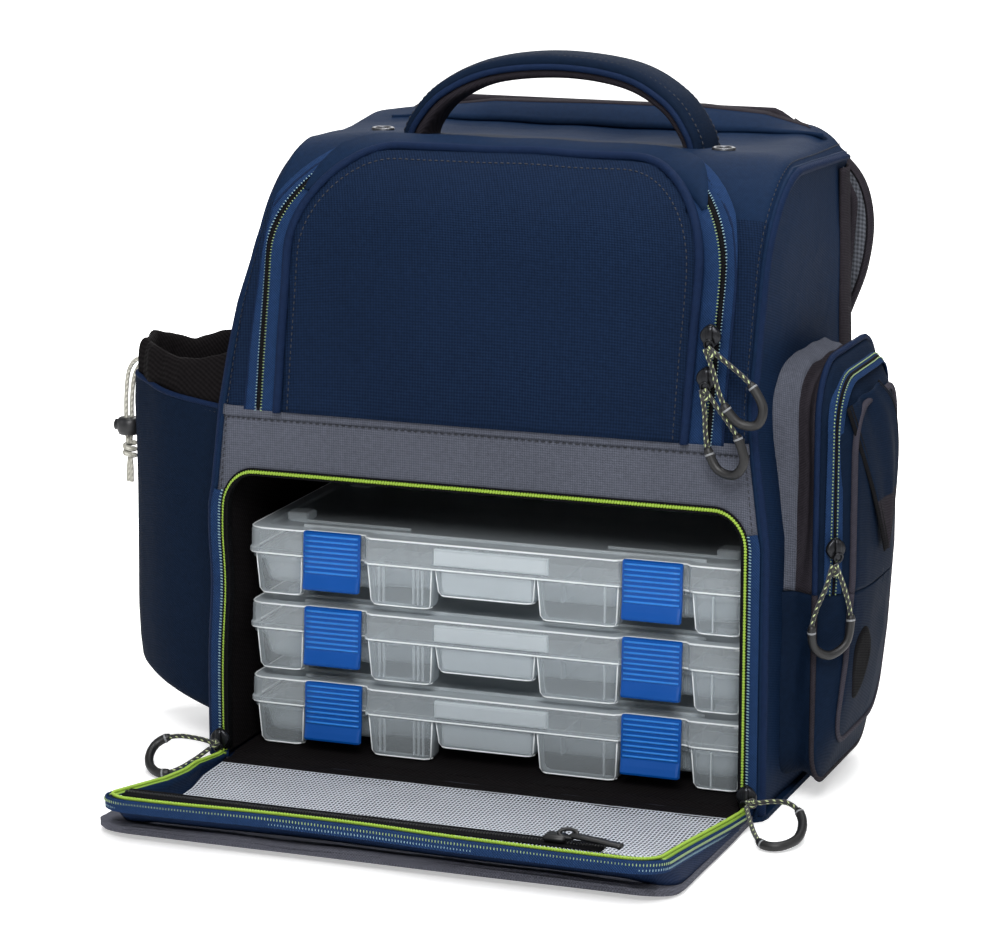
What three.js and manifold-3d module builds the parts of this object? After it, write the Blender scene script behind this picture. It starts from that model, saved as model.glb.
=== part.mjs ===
// Tackle backpack with a drop-down tray door, a padded front lid and two side pockets.
// Millimetres. X is the wearer's width, +Y points to the wearer's back, +Z is up.
import * as THREE from 'three';
import Module from 'manifold-3d';
import { mergeVertices } from 'three/addons/utils/BufferGeometryUtils.js';

const wasm = await Module();
wasm.setup();

// Driving dimensions
const GAP = 0.3;
const PANEL = 3;
const HALF_W = 147;
const SIDE_OUT = 150.3;
const FRONT_Y = -88;
const BACK_Y = 75;
const TOP_Z = 329;
const SHOULDER_R = 54;
const SHOULDER_Y = FRONT_Y + SHOULDER_R;
const SHOULDER_Z = TOP_Z - SHOULDER_R;
const BAND_Z = [160.2, 189.8];
const MOUTH_HALF_W = 138.3;
const FLOOR_TOP = 7.2;

const TRAY_HALF_W = 137.5;
const TRAY_FRONT = -69;
const TRAY_BACK = 70;
const TRAY_LOW = 7.6;
const TRAY_PITCH = 40.4;
const TRAY_H = 36.4;
const TRAY_BASE_H = 22.4;
const TRAY_WALL = 1.6;
const BUMP_HALF_W = 69.5;
const BUMP_D = 3;
const LATCH_X = [71, 103];

const LID_HALF_W = 118;
const LID_Z = [191, 325];
const LID_THICK = [0.4, 10];
const LID_CORNER = 52;

const DOOR_FRONT = -243;
const DOOR_X = [-146, 145];
const RIM = 5.5;

// ---------- outline helpers: lists of [u, v] pairs ----------

// Points on an arc from angle a to angle b in degrees.
function arc(cu, cv, r, a, b, steps) {
  return Array.from({ length: steps + 1 }, (_, i) => {
    const t = THREE.MathUtils.degToRad(a + (b - a) * i / steps);
    return [cu + r * Math.cos(t), cv + r * Math.sin(t)];
  });
}

// Rectangle with one radius for the top corners and one for the bottom corners.
function roundRect(u0, u1, v0, v1, top, bottom = 0.01, steps = 4) {
  return [
    ...arc(u1 - bottom, v0 + bottom, bottom, -90, 0, steps),
    ...arc(u1 - top, v1 - top, top, 0, 90, steps),
    ...arc(u0 + top, v1 - top, top, 90, 180, steps),
    ...arc(u0 + bottom, v0 + bottom, bottom, 180, 270, steps),
  ];
}

// Outline of a strip of the given width laid along a centre line.
function ribbon(centre, widths) {
  const left = [];
  const right = [];
  centre.forEach(([u, v], i) => {
    const a = centre[Math.max(i - 1, 0)];
    const b = centre[Math.min(i + 1, centre.length - 1)];
    const d = Math.hypot(b[0] - a[0], b[1] - a[1]);
    const n = [-(b[1] - a[1]) / d, (b[0] - a[0]) / d];
    const h = (Array.isArray(widths) ? widths[i] : widths) / 2;
    left.push([u + n[0] * h, v + n[1] * h]);
    right.unshift([u - n[0] * h, v - n[1] * h]);
  });
  return [...left, ...right];
}

// ---------- solid helpers ----------

function extrude(outline, depth) {
  const shape = new THREE.Shape(outline.map(([u, v]) => new THREE.Vector2(u, v)));
  return new THREE.ExtrudeGeometry(shape, { depth, bevelEnabled: false });
}

// Outline in (y, z), solid from x0 to x1.
function prismX(outline, x0, x1) {
  const turn = new THREE.Matrix4().set(0, 0, 1, x0, 1, 0, 0, 0, 0, 1, 0, 0, 0, 0, 0, 1);
  return extrude(outline, x1 - x0).applyMatrix4(turn);
}

// Outline in (x, z), solid from y0 to y1.
function prismY(outline, y0, y1) {
  return extrude(outline, y1 - y0).rotateX(Math.PI / 2).translate(0, y1, 0);
}

// Outline in (x, y), solid from z0 to z1.
function prismZ(outline, z0, z1) {
  return extrude(outline, z1 - z0).translate(0, 0, z0);
}

function box(x0, x1, y0, y1, z0, z1) {
  const g = new THREE.BoxGeometry(x1 - x0, y1 - y0, z1 - z0);
  return g.translate((x0 + x1) / 2, (y0 + y1) / 2, (z0 + z1) / 2);
}

// Round cord along a smooth line of points.
function cord(points, radius, steps, sides = 6) {
  const path = new THREE.CatmullRomCurve3(points.map((p) => new THREE.Vector3(...p)));
  const ring = new THREE.Shape(
    arc(0, 0, radius, 0, 360 - 360 / sides, sides - 1).map(([u, v]) => new THREE.Vector2(u, v)),
  );
  return new THREE.ExtrudeGeometry(ring, { steps, extrudePath: path, bevelEnabled: false });
}

// Skin over equal-length (y, z) outlines placed at increasing x.
function loftX(rings, xs) {
  const n = rings[0].length;
  const pos = rings.flatMap((ring, k) => ring.flatMap(([y, z]) => [xs[k], y, z]));
  const cap = THREE.ShapeUtils.triangulateShape(
    rings[0].map(([u, v]) => new THREE.Vector2(u, v)), []);
  const index = [];
  const last = (rings.length - 1) * n;
  cap.forEach(([a, b, c]) => index.push(a, c, b, last + a, last + b, last + c));
  for (let k = 0; k < rings.length - 1; k += 1) {
    for (let i = 0; i < n; i += 1) {
      const a = k * n + i;
      const b = k * n + (i + 1) % n;
      index.push(a, b, b + n, a, b + n, a + n);
    }
  }
  const g = new THREE.BufferGeometry();
  g.setAttribute('position', new THREE.Float32BufferAttribute(pos, 3));
  g.setIndex(index);
  return g;
}

function solid(geometry) {
  let g = geometry.clone();
  g.deleteAttribute('normal');
  g.deleteAttribute('uv');
  g = mergeVertices(g, 1e-3);
  return new wasm.Manifold(new wasm.Mesh({
    numProp: 3,
    vertProperties: new Float32Array(g.attributes.position.array),
    triVerts: new Uint32Array(g.index.array),
  }));
}

function geometryOf(manifold) {
  const m = manifold.getMesh();
  const g = new THREE.BufferGeometry();
  g.setAttribute('position', new THREE.Float32BufferAttribute(m.vertProperties, 3));
  g.setIndex(new THREE.Uint32BufferAttribute(m.triVerts, 1));
  return g;
}

const join = (...parts) => geometryOf(parts.map(solid).reduce((a, b) => a.add(b)));
const cut = (a, ...tools) => geometryOf(tools.map(solid).reduce((s, t) => s.subtract(t), solid(a)));
const overlap = (a, b) => geometryOf(solid(a).intersect(solid(b)));

// ---------- materials ----------

const LOOKS = {
  navy: ['#16284a', 0.85, 0],
  slate: ['#565b66', 0.9, 0],
  charcoal: ['#3a3838', 0.9, 0],
  black: ['#141416', 0.8, 0],
  lime: ['#a9d12c', 0.5, 0],
  mesh: ['#c9cdd4', 0.9, 0],
  clear: ['#c3c9cb', 0.25, 0],
  blue: ['#1f63c8', 0.35, 0],
  rubber: ['#202124', 0.6, 0],
  metal: ['#2a2b2e', 0.35, 0.9],
  cord: ['#b9b6a8', 0.8, 0],
};

const part = new THREE.Group();
part.name = 'tackle_backpack';

function add(name, look, geometry) {
  const [color, roughness, metalness] = LOOKS[look];
  const g = geometry.index ? geometry.toNonIndexed() : geometry;
  g.computeVertexNormals();
  const material = new THREE.MeshStandardMaterial({ color, roughness, metalness });
  material.name = look;
  const mesh = new THREE.Mesh(g, material);
  mesh.name = name;
  part.add(mesh);
}

// ---------- shell of the bag ----------

// Side view of the bag, offset outwards by d, from height z0 round to the back at y1.
function sideProfile(d, z0, y1) {
  return [
    [FRONT_Y - d, z0],
    ...arc(SHOULDER_Y, SHOULDER_Z, SHOULDER_R + d, 180, 90, 10),
    [y1, TOP_Z + d],
  ];
}

function curvedSlab(inner, outer, z0, y1) {
  return [...sideProfile(outer, z0, y1), ...sideProfile(inner, z0, y1).reverse()].reverse();
}

function frontOutline(halfW, z0, z1, corner) {
  return roundRect(-halfW, halfW, z0, z1, corner, 4, 6);
}

function addShell() {
  const wrap = prismX(curvedSlab(-PANEL, 0, BAND_Z[1] + GAP, BACK_Y - GAP), -HALF_W, HALF_W);
  const mouth = prismY(frontOutline(LID_HALF_W - 6, LID_Z[0] + 6, LID_Z[1] - 9, 46), -130, -20);
  add('top_wrap', 'navy', cut(wrap, mouth));
  add('gray_band', 'slate', box(-HALF_W, HALF_W, FRONT_Y, FRONT_Y + PANEL, ...BAND_Z));
  for (const [name, side] of [['front_strip_left', -1], ['front_strip_right', 1]]) {
    const edges = [side * MOUTH_HALF_W, side * (HALF_W - 0.1)].sort((a, b) => a - b);
    add(name, 'navy', box(...edges, FRONT_Y, FRONT_Y + PANEL, PANEL + GAP, BAND_Z[0] - GAP));
  }
  const base = roundRect(-SIDE_OUT, SIDE_OUT, FRONT_Y, BACK_Y + PANEL, 10, 10, 3);
  add('base_panel', 'navy', prismZ(base, 0, PANEL));
  const side = [...sideProfile(0, PANEL + GAP, BACK_Y + PANEL), [BACK_Y + PANEL, PANEL + GAP]];
  side.reverse();
  add('side_panel_left', 'navy', prismX(side, -SIDE_OUT, -HALF_W - GAP));
  add('side_panel_right', 'navy', prismX(side, HALF_W + GAP, SIDE_OUT));
  add('back_panel', 'black',
    box(-HALF_W, HALF_W, BACK_Y, BACK_Y + PANEL, PANEL + GAP, TOP_Z));
  add('divider_shelf', 'black',
    box(-HALF_W, HALF_W, FRONT_Y + PANEL + GAP, BACK_Y - GAP, 161, 164));
  add('floor_board', 'black',
    box(-MOUTH_HALF_W, MOUTH_HALF_W, FRONT_Y + PANEL + GAP, BACK_Y - GAP, PANEL + GAP, FLOOR_TOP));
}

function addOpeningZip() {
  const x = 139.7;
  const y = FRONT_Y - 1.3;
  const r = 14;
  const top = BAND_Z[0] - 1.4;
  const corner = arc(x - r, top - r, r, 0, 90, 4).map(([u, v]) => [u, y, v]);
  const mirrored = corner.map(([u, v, w]) => [-u, v, w]).reverse();
  const line = [[x, y, 12], [x, y, 60], [x, y, 120], ...corner,
    ...mirrored, [-x, y, 120], [-x, y, 60], [-x, y, 12]];
  add('opening_zip', 'lime', cord(line, 1, 44, 4));
}

// ---------- padded front lid ----------

function addFrontLid() {
  const slab = prismX(curvedSlab(...LID_THICK, LID_Z[0], SHOULDER_Y), -HALF_W, HALF_W);
  const outline = prismY(frontOutline(LID_HALF_W, ...LID_Z, LID_CORNER), -130, -20);
  add('front_lid', 'navy', overlap(slab, outline));
  const half = LID_HALF_W + 2.6;
  const outer = frontOutline(half, LID_Z[0], LID_Z[1] + 2, LID_CORNER).slice(7, -7);
  const line = [[half, 194], ...outer, [-half, 194]].map(([x, z]) => {
    const rise = Math.max(z - SHOULDER_Z, 0);
    const reach = Math.sqrt((SHOULDER_R + 1.5) ** 2 - rise ** 2);
    return [x, SHOULDER_Y - reach, z];
  });
  add('lid_zip', 'black', cord(line, 1, 44, 4));
}

// ---------- drop-down tray door ----------

function addDoor() {
  const low = [[-200, 0.3], [DOOR_FRONT, 10]];
  const floor = [[-91.3, 3.3], [-199.6, 3.3], [DOOR_FRONT, 13], ...low.reverse(), [-91.3, 0.3]];
  add('door_panel', 'slate', prismX(floor, ...DOOR_X));
  const [x0, x1] = DOOR_X;
  const ring = cut(
    prismZ(roundRect(x0, x1, DOOR_FRONT, -106.5, 0.01, 16), 0, 40),
    prismZ(roundRect(x0 + RIM, x1 - RIM, DOOR_FRONT + RIM, -90, 0.01, 11), -1, 41),
  );
  const wedge = [[-100, 3.6], [-100, 9.2], [DOOR_FRONT, 28], [DOOR_FRONT, 13.4], [-199.6, 3.6]];
  add('door_rim', 'navy', overlap(ring, prismX(wedge, -200, 200)));
  const net = [[-96, 5.8], [-96, 6.6], [-190, 6.6], [-224, 21.8], [-224, 21], [-190.2, 5.8]];
  add('door_mesh', 'mesh', prismX(net, x0 + RIM + 3.5, x1 - RIM - 3));
  add('mesh_zip', 'black', box(-130, 112, -232, -225, 20, 22));
  const slider = roundRect(84, 96, -232.5, -224.5, 3, 3, 2);
  add('mesh_slider', 'metal', prismZ(slider, 22.4, 25.6));
  add('mesh_puller', 'rubber', prismZ(ribbon([[100, -229], [112, -232], [124, -233]], [5, 6, 4]),
    23, 25.5));
}

// ---------- tackle trays ----------

function addTray(n) {
  const z0 = TRAY_LOW + TRAY_PITCH * (n - 1);
  const split = z0 + TRAY_BASE_H;
  const top = z0 + TRAY_H;
  const body = (low, high) => join(
    box(-TRAY_HALF_W, TRAY_HALF_W, TRAY_FRONT, TRAY_BACK, low, high),
    box(-BUMP_HALF_W, BUMP_HALF_W, TRAY_FRONT - BUMP_D, TRAY_FRONT + 1, low, high),
  );
  const rows = [[-67.4, -34], [-32.6, 0.3], [1.7, 34.3], [35.7, 68.4]];
  const columns = [[-135.9, -70], [-68.6, 68.6], [70, 135.9]];
  const cells = rows.flatMap(([y0, y1]) => columns.map(
    ([x0, x1]) => box(x0, x1, y0, y1, z0 + TRAY_WALL, split + 1)));
  add(`tray_${n}_base`, 'clear', cut(body(z0, split), ...cells));
  const hollow = box(-135.3, 135.3, -66.8, 67.8, split, top - TRAY_WALL);
  const pads = [[-118, -40], [118, -40], [-118, 45], [118, 45]].map(
    ([x, y]) => box(x - 6, x + 6, y - 6, y + 6, top - 0.5, top + 3.6));
  add(`tray_${n}_lid`, 'clear', join(cut(body(split + 0.4, top), hollow), ...pads));
  const clip = [[-69.8, top - 2], [-72.6, top - 2], [-73.2, top - 27], [-76.6, top - 34],
    [-75.2, top - 35], [-71, top - 29], [-69.8, top - 27]];
  add(`tray_${n}_latch_left`, 'blue', prismX(clip, -LATCH_X[1], -LATCH_X[0]));
  add(`tray_${n}_latch_right`, 'blue', prismX(clip, ...LATCH_X));
}

// ---------- zip sliders and cord pullers ----------

// Slider body standing 4.3 mm proud in -Y, centred on x and z.
function slider(x, y, z) {
  const plan = [[-4.4, -6], [4.4, -6], [5, 2], [3.2, 6], [-3.2, 6], [-5, 2]];
  return prismY(plan.map(([u, v]) => [x + u, z + v]), y - 4.3, y);
}

// Cord loop with a thick sleeve at its end, hanging straight down from the origin in XZ.
function puller(length, halfW) {
  const knee = -0.45 * length;
  const strings = cord([[-halfW, 0, knee - 2], [-halfW * 0.7, 0, knee * 0.6], [0, 0, -1.4],
    [halfW * 0.7, 0, knee * 0.6], [halfW, 0, knee - 2]], 1.3, 10);
  const sleeve = cord([[-halfW, 0, knee], [-halfW * 0.85, 0, -0.82 * length],
    [0, 0, -length + 2.4], [halfW * 0.85, 0, -0.82 * length], [halfW, 0, knee]], 2.4, 10);
  return join(strings, sleeve);
}

// Puller tilted by an angle in degrees towards +X, hung from a point.
function hungPuller(length, halfW, tilt, x, y, z) {
  return puller(length, halfW).rotateY(-THREE.MathUtils.degToRad(tilt)).translate(x, y, z);
}

function addZipHardware() {
  add('lid_slider_upper', 'metal', slider(118, -98.3, 247));
  add('lid_slider_lower', 'metal', slider(117, -98.3, 226));
  add('lid_puller_upper', 'rubber', hungPuller(44, 9, 38, 119, -110.4, 242));
  add('lid_puller_lower', 'rubber', hungPuller(44, 9, 26, 118, -105.2, 221));
  add('door_slider_left', 'metal', slider(-143.3, -90.7, 15.2));
  add('door_slider_right', 'metal', slider(143.3, -90.7, 15.2));
  const flat = (side) => puller(46, 11).rotateX(side * 0.25).rotateY(side * -1.62)
    .rotateZ(side * -0.2).translate(side * 148.9, -92.6, 14.5);
  add('door_puller_left', 'rubber', flat(-1));
  add('door_puller_right', 'rubber', flat(1));
}

// ---------- carry handle and eyelets ----------

function addHandle() {
  const [mid, half, y0, y1] = [9, 76, -20, 10];
  const rise = arc(0, 0, 1, 172, 8, 14).map(([u, v]) => [mid + half * u, 334 + 33 * v]);
  const grip = prismY(ribbon(rise, 13), y0, y1);
  const foot = (side) => {
    const x = mid + side * 74;
    const stem = box(x - 6, x + 6, -8.2, -1.8, 333.3, 342);
    const knuckle = new THREE.CylinderGeometry(3.4, 3.4, 12, 10)
      .rotateZ(Math.PI / 2).translate(x, -5, 333.3);
    return [stem, knuckle];
  };
  const trimmed = overlap(grip, box(-200, 200, -60, 60, 338, 420));
  add('carry_handle', 'navy', join(trimmed, ...foot(-1), ...foot(1)));
  for (const [name, x, y] of [['eyelet_left', -82, -12], ['eyelet_right', 108, -30]]) {
    const ring = new THREE.TorusGeometry(4.8, 1.3, 6, 14).translate(x, y, TOP_Z + GAP + 1.4);
    add(name, 'metal', ring);
  }
}

// ---------- bottle pocket on the left ----------

function pocketOutline(a, b) {
  return arc(0, 0, 1, 90, 270, 14).map(([u, v]) => [-SIDE_OUT - GAP + a * u, -16 + b * v]);
}

// Half-round tube against the side panel, with a wall all round.
function pocketTube(a, b, wall, z0, z1, floor) {
  const inner = pocketOutline(a - 2 * wall, b - wall).map(([x, y]) => [x - wall, y]);
  inner[0][0] = -SIDE_OUT - GAP - wall;
  inner[inner.length - 1][0] = -SIDE_OUT - GAP - wall;
  return cut(prismZ(pocketOutline(a, b), z0, z1), prismZ(inner, z0 + floor, z1 + 1));
}

function addBottlePocket() {
  add('bottle_pocket', 'navy', pocketTube(70, 46, 2, 24, 190, 2));
  add('bottle_collar', 'black', pocketTube(67, 43, 2, 190.4, 213, -1));
  const line = [[-218.6, -22, 200], [-223.5, -21, 199.5], [-227.6, -20, 193],
    [-227.6, -20, 172], [-227.6, -20, 160], [-227.6, -20, 150]];
  const knot = new THREE.SphereGeometry(5.4, 8, 6).translate(-227.6, -20, 149);
  const tail = new THREE.CylinderGeometry(2.4, 2, 14, 6).rotateX(Math.PI / 2)
    .translate(-227.6, -20, 139);
  add('drawcord', 'cord', join(cord(line, 1.9, 16), knot, tail));
  const barrel = new THREE.CylinderGeometry(6.6, 6.6, 9, 12).rotateX(Math.PI / 2)
    .translate(-227.6, -20, 161.5);
  const bore = new THREE.CylinderGeometry(2.6, 2.6, 30, 10).rotateX(Math.PI / 2)
    .translate(-227.6, -20, 161.5);
  add('cord_lock', 'rubber', cut(barrel, bore));
}

// ---------- zipped organiser pocket on the right ----------

function addSidePocket() {
  const [x0, x1, x2, x3] = [SIDE_OUT + GAP, 167, 184.5, 190];
  const wall = 3;
  const tub = cut(
    prismX(roundRect(-60, 58, 12, 224, 26, 18), x0, x1),
    prismX(roundRect(-60 + wall, 58 - wall, 12 + wall, 224 - wall, 23, 15), x0 - 1, x1 + 1),
  );
  const half = (z0, z1) => overlap(tub, box(x0 - 5, x1 + 5, -100, 100, z0, z1));
  add('side_gusset_upper', 'slate', half(113, 300));
  add('side_gusset_lower', 'navy', half(0, 112.7));
  const cover = [roundRect(-60, 58, 112, 224, 26), roundRect(-44, 44, 112, 208, 20),
    roundRect(-22, 30, 112, 188, 14)];
  add('side_cover', 'navy', loftX(cover, [x1 + GAP, x2, x3]));
  const lower = [roundRect(-60, 58, 12, 111.6, 0.01, 18), roundRect(-44, 44, 34, 111.6, 0.01, 16),
    roundRect(-22, 30, 60, 111.6, 0.01, 12)];
  add('side_pocket_front', 'navy', loftX(lower, [x1 + GAP, x2, x3]));
  const pouch = [[-20, 113], [28, 113], [28, 146], [-20, 178]];
  add('slip_pouch', 'charcoal', prismX(pouch, x3 + GAP, x3 + 2.4));
  const zip = slider(0, 0, 0).rotateZ(Math.PI / 4).translate(177, -56.4, 137);
  add('side_slider', 'metal', zip);
  add('side_puller', 'rubber', puller(46, 12).translate(177.5, -67, 129));
}

// ---------- harness on the back ----------

function addHarness() {
  const padY = BACK_Y + PANEL + GAP;
  const yoke = [[-112, 306], [126, 306], [108, 330], [84, 337], [-70, 337], [-96, 330]];
  add('back_pad', 'black', join(prismY(roundRect(-138, 138, 22, 314, 26, 26), padY, padY + 14),
    prismY(yoke, padY, padY + 14)));
  for (const [name, s] of [['left', -1], ['right', 1]]) {
    const strap = [[70, 319], [88, 302], [107, 283], [121, 258], [118, 226], [103, 180], [93, 116]];
    const widths = [56, 60, 62, 62, 62, 58, 46];
    const place = (line, w) => ribbon(line.map(([x, z]) => [s * x, z]), w);
    const flip = (outline) => (s < 0 ? outline : [...outline].reverse());
    add(`shoulder_strap_${name}`, 'charcoal',
      prismY(flip(place(strap, widths)), padY + 14.4, padY + 25));
    const frame = prismY([[-17, -11], [17, -11], [17, 11], [-17, 11]], 98.5, 102.5);
    const slots = [-6, 4].map((z) => box(-13.5, 13.5, 90, 110, z - 2.2, z + 2.2));
    add(`ladder_lock_${name}`, 'rubber', cut(frame, ...slots).translate(s * 93, 0, 101));
    const web = [[93, 81], [104, 58], [124, 22]];
    add(`strap_webbing_${name}`, 'black', prismY(flip(place(web, 25)), 99.5, 101.5));
  }
}

addShell();
addOpeningZip();
addFrontLid();
addDoor();
[1, 2, 3].forEach(addTray);
addZipHardware();
addHandle();
addBottlePocket();
addSidePocket();
addHarness();

export default part;
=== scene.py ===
import math

import bpy
import numpy as np
from mathutils import Matrix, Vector
from mathutils.bvhtree import BVHTree


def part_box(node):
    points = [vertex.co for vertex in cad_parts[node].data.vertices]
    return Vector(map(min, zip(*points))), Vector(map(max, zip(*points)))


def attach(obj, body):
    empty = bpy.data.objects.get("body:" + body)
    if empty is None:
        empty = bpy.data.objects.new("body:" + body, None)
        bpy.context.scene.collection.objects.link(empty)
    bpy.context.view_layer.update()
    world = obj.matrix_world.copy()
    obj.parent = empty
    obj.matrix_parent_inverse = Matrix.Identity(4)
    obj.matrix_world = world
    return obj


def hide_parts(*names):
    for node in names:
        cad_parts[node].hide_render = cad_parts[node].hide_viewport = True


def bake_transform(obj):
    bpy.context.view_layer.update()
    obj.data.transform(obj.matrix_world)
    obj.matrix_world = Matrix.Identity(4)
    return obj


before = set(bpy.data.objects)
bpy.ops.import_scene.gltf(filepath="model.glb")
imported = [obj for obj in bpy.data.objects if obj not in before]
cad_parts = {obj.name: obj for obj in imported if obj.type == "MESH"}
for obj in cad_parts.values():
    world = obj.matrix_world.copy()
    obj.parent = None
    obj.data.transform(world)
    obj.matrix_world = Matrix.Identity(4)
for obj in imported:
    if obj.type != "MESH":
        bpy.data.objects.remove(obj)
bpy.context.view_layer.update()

MM = 0.001
FULL_TURN = 2 * math.pi
SIDES = (("left", -1), ("right", 1))

# Bag outline in millimetres, the same as the CAD shell; SHOULDER rounds the front's turn into the top
FRONT, BACK, TOP = -88.0, 75.0, 329.0
SHOULDER = 54.0
ARC_Y, ARC_Z = FRONT + SHOULDER, TOP - SHOULDER
ARC_LEN = SHOULDER * math.pi / 2
WRAP_LEN = ARC_Z + ARC_LEN + BACK - ARC_Y
HALF_W = 149.0
SHELL_NAMES = ("upper_skin", "lower_front", "side_cloth", "edge_", "band_", "mouth_", "lid_pad", "lid_piping",
               "lid_tape", "lid_teeth", "lid_zip", "lid_outer", "lid_lining")
RIM_NAMES = ("door_zip", "door_wall", "door_net", "door_lining")


# ---------------------------------------------------------------- materials

class Graph:
    """Short way to write a node tree."""

    def __init__(self, name):
        self.mat = bpy.data.materials.new(name)
        self.mat.use_nodes = True
        self.tree = self.mat.node_tree
        self.shader = self.tree.nodes["Principled BSDF"]

    def add(self, kind, settings=None, **inputs):
        n = self.tree.nodes.new(kind)
        for k, v in (settings or {}).items():
            setattr(n, k, v)
        for k, v in inputs.items():
            self.feed(n.inputs[int(k[1:]) if k[0] == "i" and k[1:].isdigit() else k.replace("_", " ")], v)
        return n

    def feed(self, socket, v):
        if hasattr(v, "is_output"):
            self.tree.links.new(v, socket)
        elif isinstance(v, bpy.types.Node):
            self.tree.links.new(v.outputs[0], socket)
        elif isinstance(v, (tuple, list)) and len(v) == 3 and socket.type == "RGBA":
            socket.default_value = (*v, 1)
        else:
            socket.default_value = v

    def math(self, op, a, b=0.0, c=None):
        n = self.add("ShaderNodeMath", {"operation": op}, i0=a, i1=b)
        if c is not None:
            self.feed(n.inputs[2], c)
        return n

    def mix(self, fac, a, b):
        n = self.tree.nodes.new("ShaderNodeMix")
        n.data_type = "RGBA"
        self.feed(n.inputs["Factor"], fac)
        self.feed([s for s in n.inputs if s.name == "A" and s.type == "RGBA"][0], a)
        self.feed([s for s in n.inputs if s.name == "B" and s.type == "RGBA"][0], b)
        return [s for s in n.outputs if s.type == "RGBA"][0]

    def noise(self, scale, detail, **more):
        """Cloudy values laid out in the object's own space."""
        space = self.add("ShaderNodeTexCoord").outputs["Object"]
        return self.add("ShaderNodeTexNoise", Vector=space, Scale=scale, Detail=detail, **more).outputs[0]

    def bump(self, strength, distance, height, **more):
        return self.add("ShaderNodeBump", Strength=strength, Distance=distance, Height=height, **more)

    def set(self, **inputs):
        for k, v in inputs.items():
            self.feed(self.shader.inputs[k.replace("_", " ")], v)
        return self.mat


def linear(hex_colour):
    """A screen colour as the linear values that Blender works in."""
    c = [int(hex_colour[i:i + 2], 16) / 255 for i in (1, 3, 5)]
    return tuple(x / 12.92 if x <= 0.04045 else ((x + 0.055) / 1.055) ** 2.4 for x in c)


def scale_colour(c, k):
    return tuple(min(x * k, 1) for x in c)


def cloth(name, colour, pitch, kind, contrast, bump=0.4, rough=0.82, by_uv=False):
    """Woven cloth. pitch is the weave's repeat in millimetres; by_uv runs it along a strap."""
    vary = 0.18
    g = Graph(name)
    c = linear(colour)
    where = g.add("ShaderNodeTexCoord")
    place = g.add("ShaderNodeSeparateXYZ", i0=where.outputs["UV" if by_uv else "Object"]).outputs
    if by_uv:
        u, v = place[0], place[1]
        k = FULL_TURN / pitch
    else:
        u = g.math("MULTIPLY_ADD", place[1], 0.55, place[0])
        v = g.math("MULTIPLY_ADD", place[1], 0.9, place[2])
        k = FULL_TURN / (pitch * MM)
    if kind == "plain":
        a, b = g.math("MULTIPLY", u, k), g.math("MULTIPLY", v, k)
    else:
        a = g.math("MULTIPLY", g.math("ADD", u, v), k * 0.7)
        b = g.math("MULTIPLY", g.math("SUBTRACT", u, v), k * 0.7)
    sa, sb = g.math("SINE", a), g.math("SINE", b)
    if kind == "twill":
        h = g.math("MULTIPLY_ADD", sb, 0.35, sa)
    else:
        h = g.math("MULTIPLY", sa, sb)
    h = g.math("MULTIPLY_ADD", h, 0.5, 0.5)
    small = g.noise(420.0, 2.0)
    tone = g.math("MULTIPLY_ADD", g.noise(14.0, 3.0), vary * 2, 1 - vary)
    dark, light = scale_colour(c, 1 - contrast), scale_colour(c, 1 + contrast * 0.8)
    woven = g.mix(h, dark, light)
    fuzz = g.math("MULTIPLY", tone, g.math("MULTIPLY_ADD", small, 0.5, 0.75))
    tinted = g.add("ShaderNodeVectorMath", {"operation": "SCALE"}, i0=woven)
    g.feed(tinted.inputs["Scale"], fuzz)
    wrinkles = g.bump(0.35, 0.0022, g.noise(38.0, 2.0, Distortion=0.6))
    fine = g.bump(bump, 0.0005, g.math("MULTIPLY_ADD", small, 0.5, h), Normal=wrinkles)
    rough_map = g.math("MULTIPLY_ADD", h, -0.12, rough + 0.06)
    return g.set(Base_Color=tinted, Roughness=rough_map, Normal=fine, Specular_IOR_Level=0.05)


def plastic(name, colour, rough, bump=0.08, metal=0.0, shine=0.5):
    """Moulded plastic or painted metal with a fine grain and slight wear."""
    g, speck = Graph(name), 0.08
    c = linear(colour)
    cloud = g.noise(60.0, 3.0)
    base = g.mix(cloud, scale_colour(c, 1 - speck), scale_colour(c, 1 + speck))
    r = g.math("MULTIPLY_ADD", cloud, 0.16, rough - 0.08)
    n = g.bump(bump, 0.0002, g.noise(900.0, 2.0))
    return g.set(Base_Color=base, Roughness=r, Metallic=metal, Normal=n, Specular_IOR_Level=shine)


def frosted(name, colour, alpha):
    """See-through moulded plastic, more solid where it is seen edge on."""
    g = Graph(name)
    edge = g.add("ShaderNodeLayerWeight", Blend=0.35)
    r = g.math("MULTIPLY_ADD", g.noise(45.0, 3.0), 0.14, 0.14)
    a = g.math("MULTIPLY_ADD", edge.outputs["Facing"], 0.55, alpha)
    a.use_clamp = True
    n = g.bump(0.05, 0.0002, g.noise(700.0, 1.0))
    return g.set(Base_Color=linear(colour), Roughness=r, Alpha=a, Normal=n, Specular_IOR_Level=0.7)


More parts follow.
